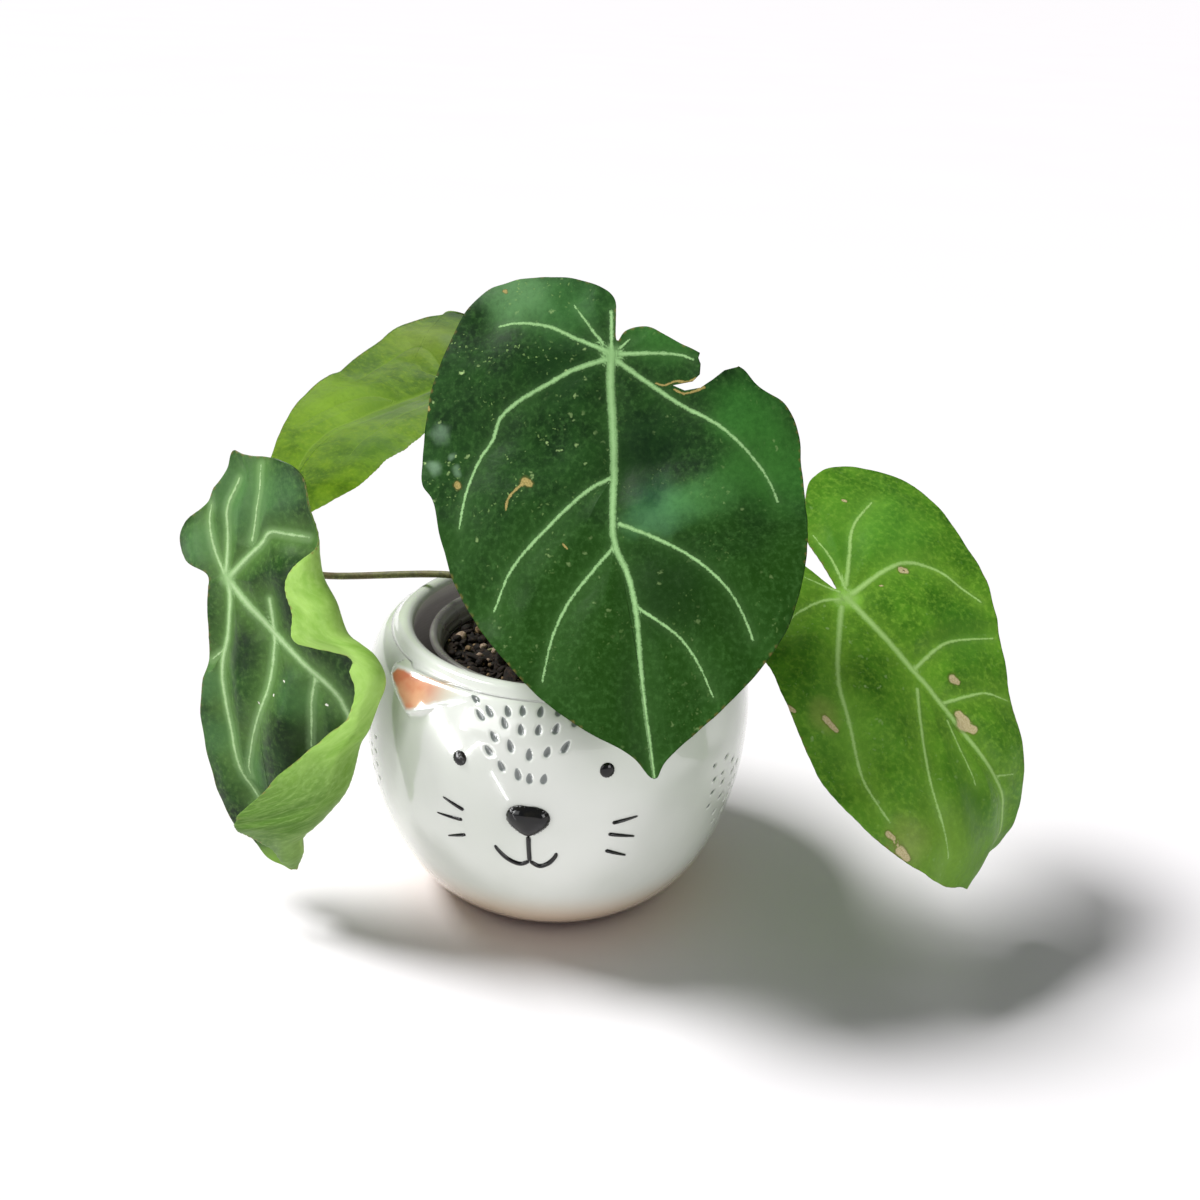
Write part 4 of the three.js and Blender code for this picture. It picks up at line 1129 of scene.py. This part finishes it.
def root_pieces(finish):
    """Thin roots that leave the stem and dive into the medium."""
    chance = random.Random(17)
    shapes = []
    for k in range(9):
        turn = k * 0.7 + chance.uniform(-0.2, 0.2) + 2.2
        reach = chance.uniform(12, 25)
        line = []
        for s in np.linspace(0, 1, 7):
            r = 6.2 + reach * s
            t = turn + 0.35 * math.sin(3 * s + k)
            x, y = r * math.cos(t), r * math.sin(t)
            rise = 3.4 * (1 - s) * math.sin(math.pi * (0.25 + 0.7 * s)) + 0.6 - 3.2 * s**3
            line.append((x, y, float(medium_height(x, y)) + rise))
        share = np.linspace(0, 1, 40)
        path = spaced(through(line, 10), share)
        radii = np.interp(share, [0, 0.1, 1], [1.0, 0.85, 0.45]) * (1 + 0.12 * wander(path, 2, k))
        radii[0] = radii[-1] = 0
        shapes.append(stalk(path, radii, 10))
    finished("surface_roots", joined(shapes), [finish], "growing_medium")


# Build

green_top = leaf_skin(
    "front_blade_top", "#132b12", "#21431a", "#456f36", "#83ad70", "#9bc487", speck=0.8, gloss=0.46,
    shine=0.06, lower="#1f4210", glow=0.12, fringe=0.05, tan=("#857a44", "#a8965c"),
    # The patches from (44, 12) to (37, 33) are a painted sheen along the swelling there, and the near-black
    # ones at (33, 6) and (24, 11) are painted shade in the dip above it.
    patches=[(33, 6, 9, "#0a200c", 0.6), (70, 12, 12, "#0d240a", 0.6), (4, -14, 9, "#0c2612", 0.5),
             (24, 11, 8, "#0c2410", 0.5), (44, 12, 7, "#2f6440", 0.4), (49, 6, 4, "#568a5c", 0.35),
             (49.5, 12, 4, "#5c9060", 0.4), (46, 18, 5, "#5c965a", 0.5), (43, 25, 6, "#528c48", 0.4),
             (37, 33, 6, "#47803c", 0.3), (18, 37, 9, "#3f8032", 0.5), (34, 44, 12, "#3f7c30", 0.5),
             (-8, 14, 9, "#4a8a3c", 0.45), (-17, -14, 10, "#4c8446", 0.45), (-19, -27, 8, "#6a9a62", 0.6),
             (20, -48, 2.2, "#8cae8e", 0.35), (29.5, -49.5, 1.8, "#8cae8e", 0.5),
             (30.5, -43.5, 1.3, "#8cae8e", 0.45), (26, -45, 1.1, "#8cae8e", 0.4)])
green_under = leaf_skin("front_blade_under", "#4f7a2e", "#66903a", "#82a84e", "#93b06c", "#a8c084",
                        speck=0.2, gloss=0.5)
right_top = leaf_skin(
    "right_blade_top", "#33640f", "#50841d", "#7fab38", "#8fb862", "#a2c878", tan=("#a89a6c", "#c4b98f"),
    speck=0.6, gloss=0.42, shine=0.13, mottle=0.6, lines=0.1, vein_share=0.88, glow=0.25,
    # Its dark green patches are painted shade in the blade's hollows, laid over its own mottling.
    patches=[(60, -18, 11, "#2a5a14", 0.25), (-12, 26, 14, "#5a9a34", 0.4), (30, -32, 12, "#6ba03a", 0.35),
             (30, 22, 10, "#3c7420", 0.45), (-14, 8, 7, "#35701c", 0.5), (0, 0, 4, "#84bc40", 0.8),
             (10, -28, 10, "#3a741e", 0.15), (72, -31, 13, "#7ba236", 0.45), (70, -14, 7, "#2f6416", 0.4),
             (84, -26, 16, "#6a962a", 0.5), (96, -10, 12, "#6a962a", 0.45), (24, -33, 4, "#8a9a4a", 0.5),
             (62, -38, 6, "#8c9c50", 0.5)])
right_under = leaf_skin("right_blade_under", "#5f8a30", "#74a040", "#90b454", "#a0c070", "#b4cc88",
                        speck=0.15, gloss=0.5)
back_top = leaf_skin("back_blade_top", "#1c4a18", "#2f6422", "#4f8438", "#86a878", "#a8c298", speck=0.4)
# The underside's bright yellow-green is partly its own paler colour and partly painted light shining through
# the blade. Its bright patches at (48, 11) and (-10, 22) are painted highlights on swellings, and the dark
# ones at (38, -4), (14, -12) and (70, -24) are painted shade.
back_under = leaf_skin(
    "back_blade_under", "#517f0c", "#7ba818", "#a8c832", "#7fa92a", "#96bb40", rim="#8f8a3a", speck=0.12,
    gloss=0.42, vein_share=0.55, glow=0.0,
    patches=[(38, -4, 12, "#4a7414", 0.6), (14, -12, 10, "#54801a", 0.5), (48, 11, 15, "#9cc83a", 0.7),
             (-10, 22, 12, "#b4d060", 0.5), (-13.5, 17, 4, "#8fae7c", 0.4), (-35, 38.5, 4, "#2c5a1e", 0.95),
             (70, -24, 12, "#5c8c1c", 0.5)])
left_top = leaf_skin(
    "left_blade_top", "#0d2606", "#1f4610", "#628c42", "#90b678", "#b2d09a", speck=0.2, gloss=0.4, shine=0.2,
    glow=0.55, fringe=0.36, tan=("#d8dcc8", "#eef0e4"),
    # Its near-black patches are partly painted shade between the veins, and its grey-green ones partly
    # painted sheen, over the blade's own mottling.
    patches=[(-22, 12, 11, "#56844e", 0.55), (30, -17, 6, "#56844e", 0.55), (48, -18, 6, "#4c7a44", 0.5),
             (10, 26, 7, "#0a2408", 0.7), (52, 18, 10, "#0a2408", 0.6), (22, 1, 5, "#0c2a0a", 0.6),
             (-12, -8, 6, "#64945a", 0.5), (60, -6, 6, "#44703c", 0.5), (-20, 28, 7, "#56844e", 0.5),
             (36, 18, 6, "#4c7c42", 0.5), (92, -3, 7, "#7ba63c", 1.0)])
# The underside's light yellow-green is partly its own paler colour and partly painted light shining through
# the curled blade.
left_under = leaf_skin("left_blade_under", "#82ae44", "#a0c962", "#b6d682", "#8fb45a", "#a2c270",
                       rim="#8a6f42", speck=0.08, gloss=0.5, vein_share=0.4, glow=0.2,
                       lower="#4c7222", mottle=0.2)
rim_skin = leaf_skin("blade_rim", "#3f5f28", "#5c7a34", "#74904a", "#74904a", "#74904a", speck=0.0,
                     gloss=0.5)

leaf_piece("leaf_front", FRONT, [green_top, green_under, rim_skin], 1.0, 1.5)
leaf_piece("leaf_right", RIGHT, [right_top, right_under, rim_skin], 2.0, 1.6)
leaf_piece("leaf_back", BACK, [back_top, back_under, rim_skin], 3.0, 1.4)
leaf_piece("leaf_left", LEFT, [left_top, left_under, rim_skin], 4.0, 1.2)

skin = stalk_skin()
for key in PETIOLES:
    petiole_piece(key, skin)
stem_piece(skin)

pot_piece([glaze(), inner_glaze()])
face_pieces(ink_glaze())
nursery_piece(clear_plastic())
soil_piece(soil())
crumb_pieces(bark_and_pumice())
root_pieces(skin)


# Floor, light, camera

def floor_piece():
    bm = bmesh.new()
    bmesh.ops.create_circle(bm, cap_ends=True, segments=96, radius=300)
    face_out(bm)
    if bm.faces[:][0].normal.z < 0:
        bmesh.ops.reverse_faces(bm, faces=bm.faces[:])
    mesh = bpy.data.meshes.new("floor")
    bm.to_mesh(mesh)
    bm.free()
    f = Finish("pale_floor", Specular_IOR_Level=0.15)
    paper = f.noise(3, 3)
    f.link("Base Color", f.mix(paper, "#f4f1f3", "#f7f4f6"))
    f.link("Roughness", 0.7 + paper * 0.1)
    mesh.materials.append(f.material)
    floor = stand("floor", mesh)
    floor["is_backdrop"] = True


def aimed(way):
    """The turn of a lamp that shines that way."""
    return Vector(way).to_track_quat("-Z", "Y").to_euler()


def placed(axes, spot):
    """The matrix of an object with these axes, as columns, at that spot."""
    return Matrix([(*row, place) for row, place in zip(axes, spot)] + [(0, 0, 0, 1)])


def sun(name, way, angle, strength):
    light = bpy.data.lights.new(name, "SUN")
    light.angle, light.energy = math.radians(angle), strength
    stand(name, light).rotation_euler = aimed(way)


def area(name, width, height, power):
    """A rectangular lamp that the camera doesn't see."""
    light = bpy.data.lights.new(name, "AREA")
    light.shape, light.size, light.size_y, light.energy = "RECTANGLE", width, height, power
    thing = stand(name, light)
    thing.visible_camera = False
    return thing


def lamp(name, place, aim, width, height, power):
    thing = area(name, width, height, power)
    thing.location, thing.rotation_euler = place, aimed(Vector(aim) - Vector(place))
    return thing


def pane(name, start, end, width, gleam):
    """A narrow lit window edge between two places, turned to the pot's brow and seen in its glaze alone."""
    start, end, brow = (Vector(place) * MM for place in (start, end, (-20, -55, 73)))
    middle, along = (start + end) / 2, (end - start).normalized()
    side = along.cross(middle - brow).normalized()
    width, height = width * MM, (end - start).length
    thing = area(name, width, height, gleam * math.pi * width * height)
    thing.matrix_world = placed(np.column_stack([side, along, side.cross(along)]), middle)
    thing.visible_diffuse = False
    return thing


def light_only(name, pieces, lamps):
    """Lets these lamps light these pieces alone."""
    group = bpy.data.collections.new(name)
    for piece in pieces:
        group.objects.link(piece)
    for thing in lamps:
        thing.light_linking.receiver_collection = group


floor_piece()
sun("key", (0.7, -0.12, -1.0), 20, 3.7)
soft_lamps = [lamp("window", (-0.62, -0.62, 0.34), (0, -0.02, 0.08), 0.07, 0.5, 1.2),
              lamp("fill", (-0.7, -1.1, 0.5), (0, 0, 0.08), 0.7, 0.6, 2.7),
              lamp("soft_right", (0.9, -0.8, 0.4), (0, 0, 0.08), 0.5, 0.5, 3.8)]
panes = [pane("pane_wide", (-63.6, -44, 102.5), (-43.5, -74, 64.4), 8, 16),
         pane("pane_rising", (-40, -76, 62), (-32, -81, 73.7), 1.8, 14),
         pane("pane_falling", (-32, -81, 73.7), (-23.4, -84.4, 67), 1.5, 14),
         pane("pane_low", (-24.5, -83, 58), (-15.4, -83, 43.8), 1.2, 12)]
glazed = ("cachepot_body", "nose", "left_eye", "right_eye")
light_only("pot_only", [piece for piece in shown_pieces() if piece.name in glazed], panes)
light_only("plant_only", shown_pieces(), soft_lamps)

world = bpy.data.worlds.new("studio")
bpy.context.scene.world = world
world.use_nodes = True
backdrop = world.node_tree.nodes["Background"]
backdrop.inputs["Color"].default_value = (0.97, 0.985, 1.0, 1)
backdrop.inputs["Strength"].default_value = 0.2

# The camera looks at a point just right of the pot's middle; angles in degrees, places in millimetres.
turn, rise, lean = math.radians(5), math.radians(24.3), math.radians(2.3)
distance, beside, aim_height = 428.5, 12.1, 95.6
back = np.array([math.sin(turn) * math.cos(rise), -math.cos(turn) * math.cos(rise), math.sin(rise)])
level = np.array([math.cos(turn), math.sin(turn), 0])
over = np.cross(back, level)
right = level * math.cos(lean) + over * math.sin(lean)
up = -level * math.sin(lean) + over * math.cos(lean)
aim = np.array([beside * math.cos(turn), beside * math.sin(turn), aim_height])
view = bpy.data.cameras.new("camera")
view.lens, view.sensor_width = 42, 36
view.clip_start, view.clip_end = 0.01, 900
camera = stand("camera", view)
camera.matrix_world = placed(np.column_stack([right, up, back]), (aim + back * distance) * MM)
bpy.context.scene.camera = camera
bpy.context.scene.view_settings.view_transform = "Standard"
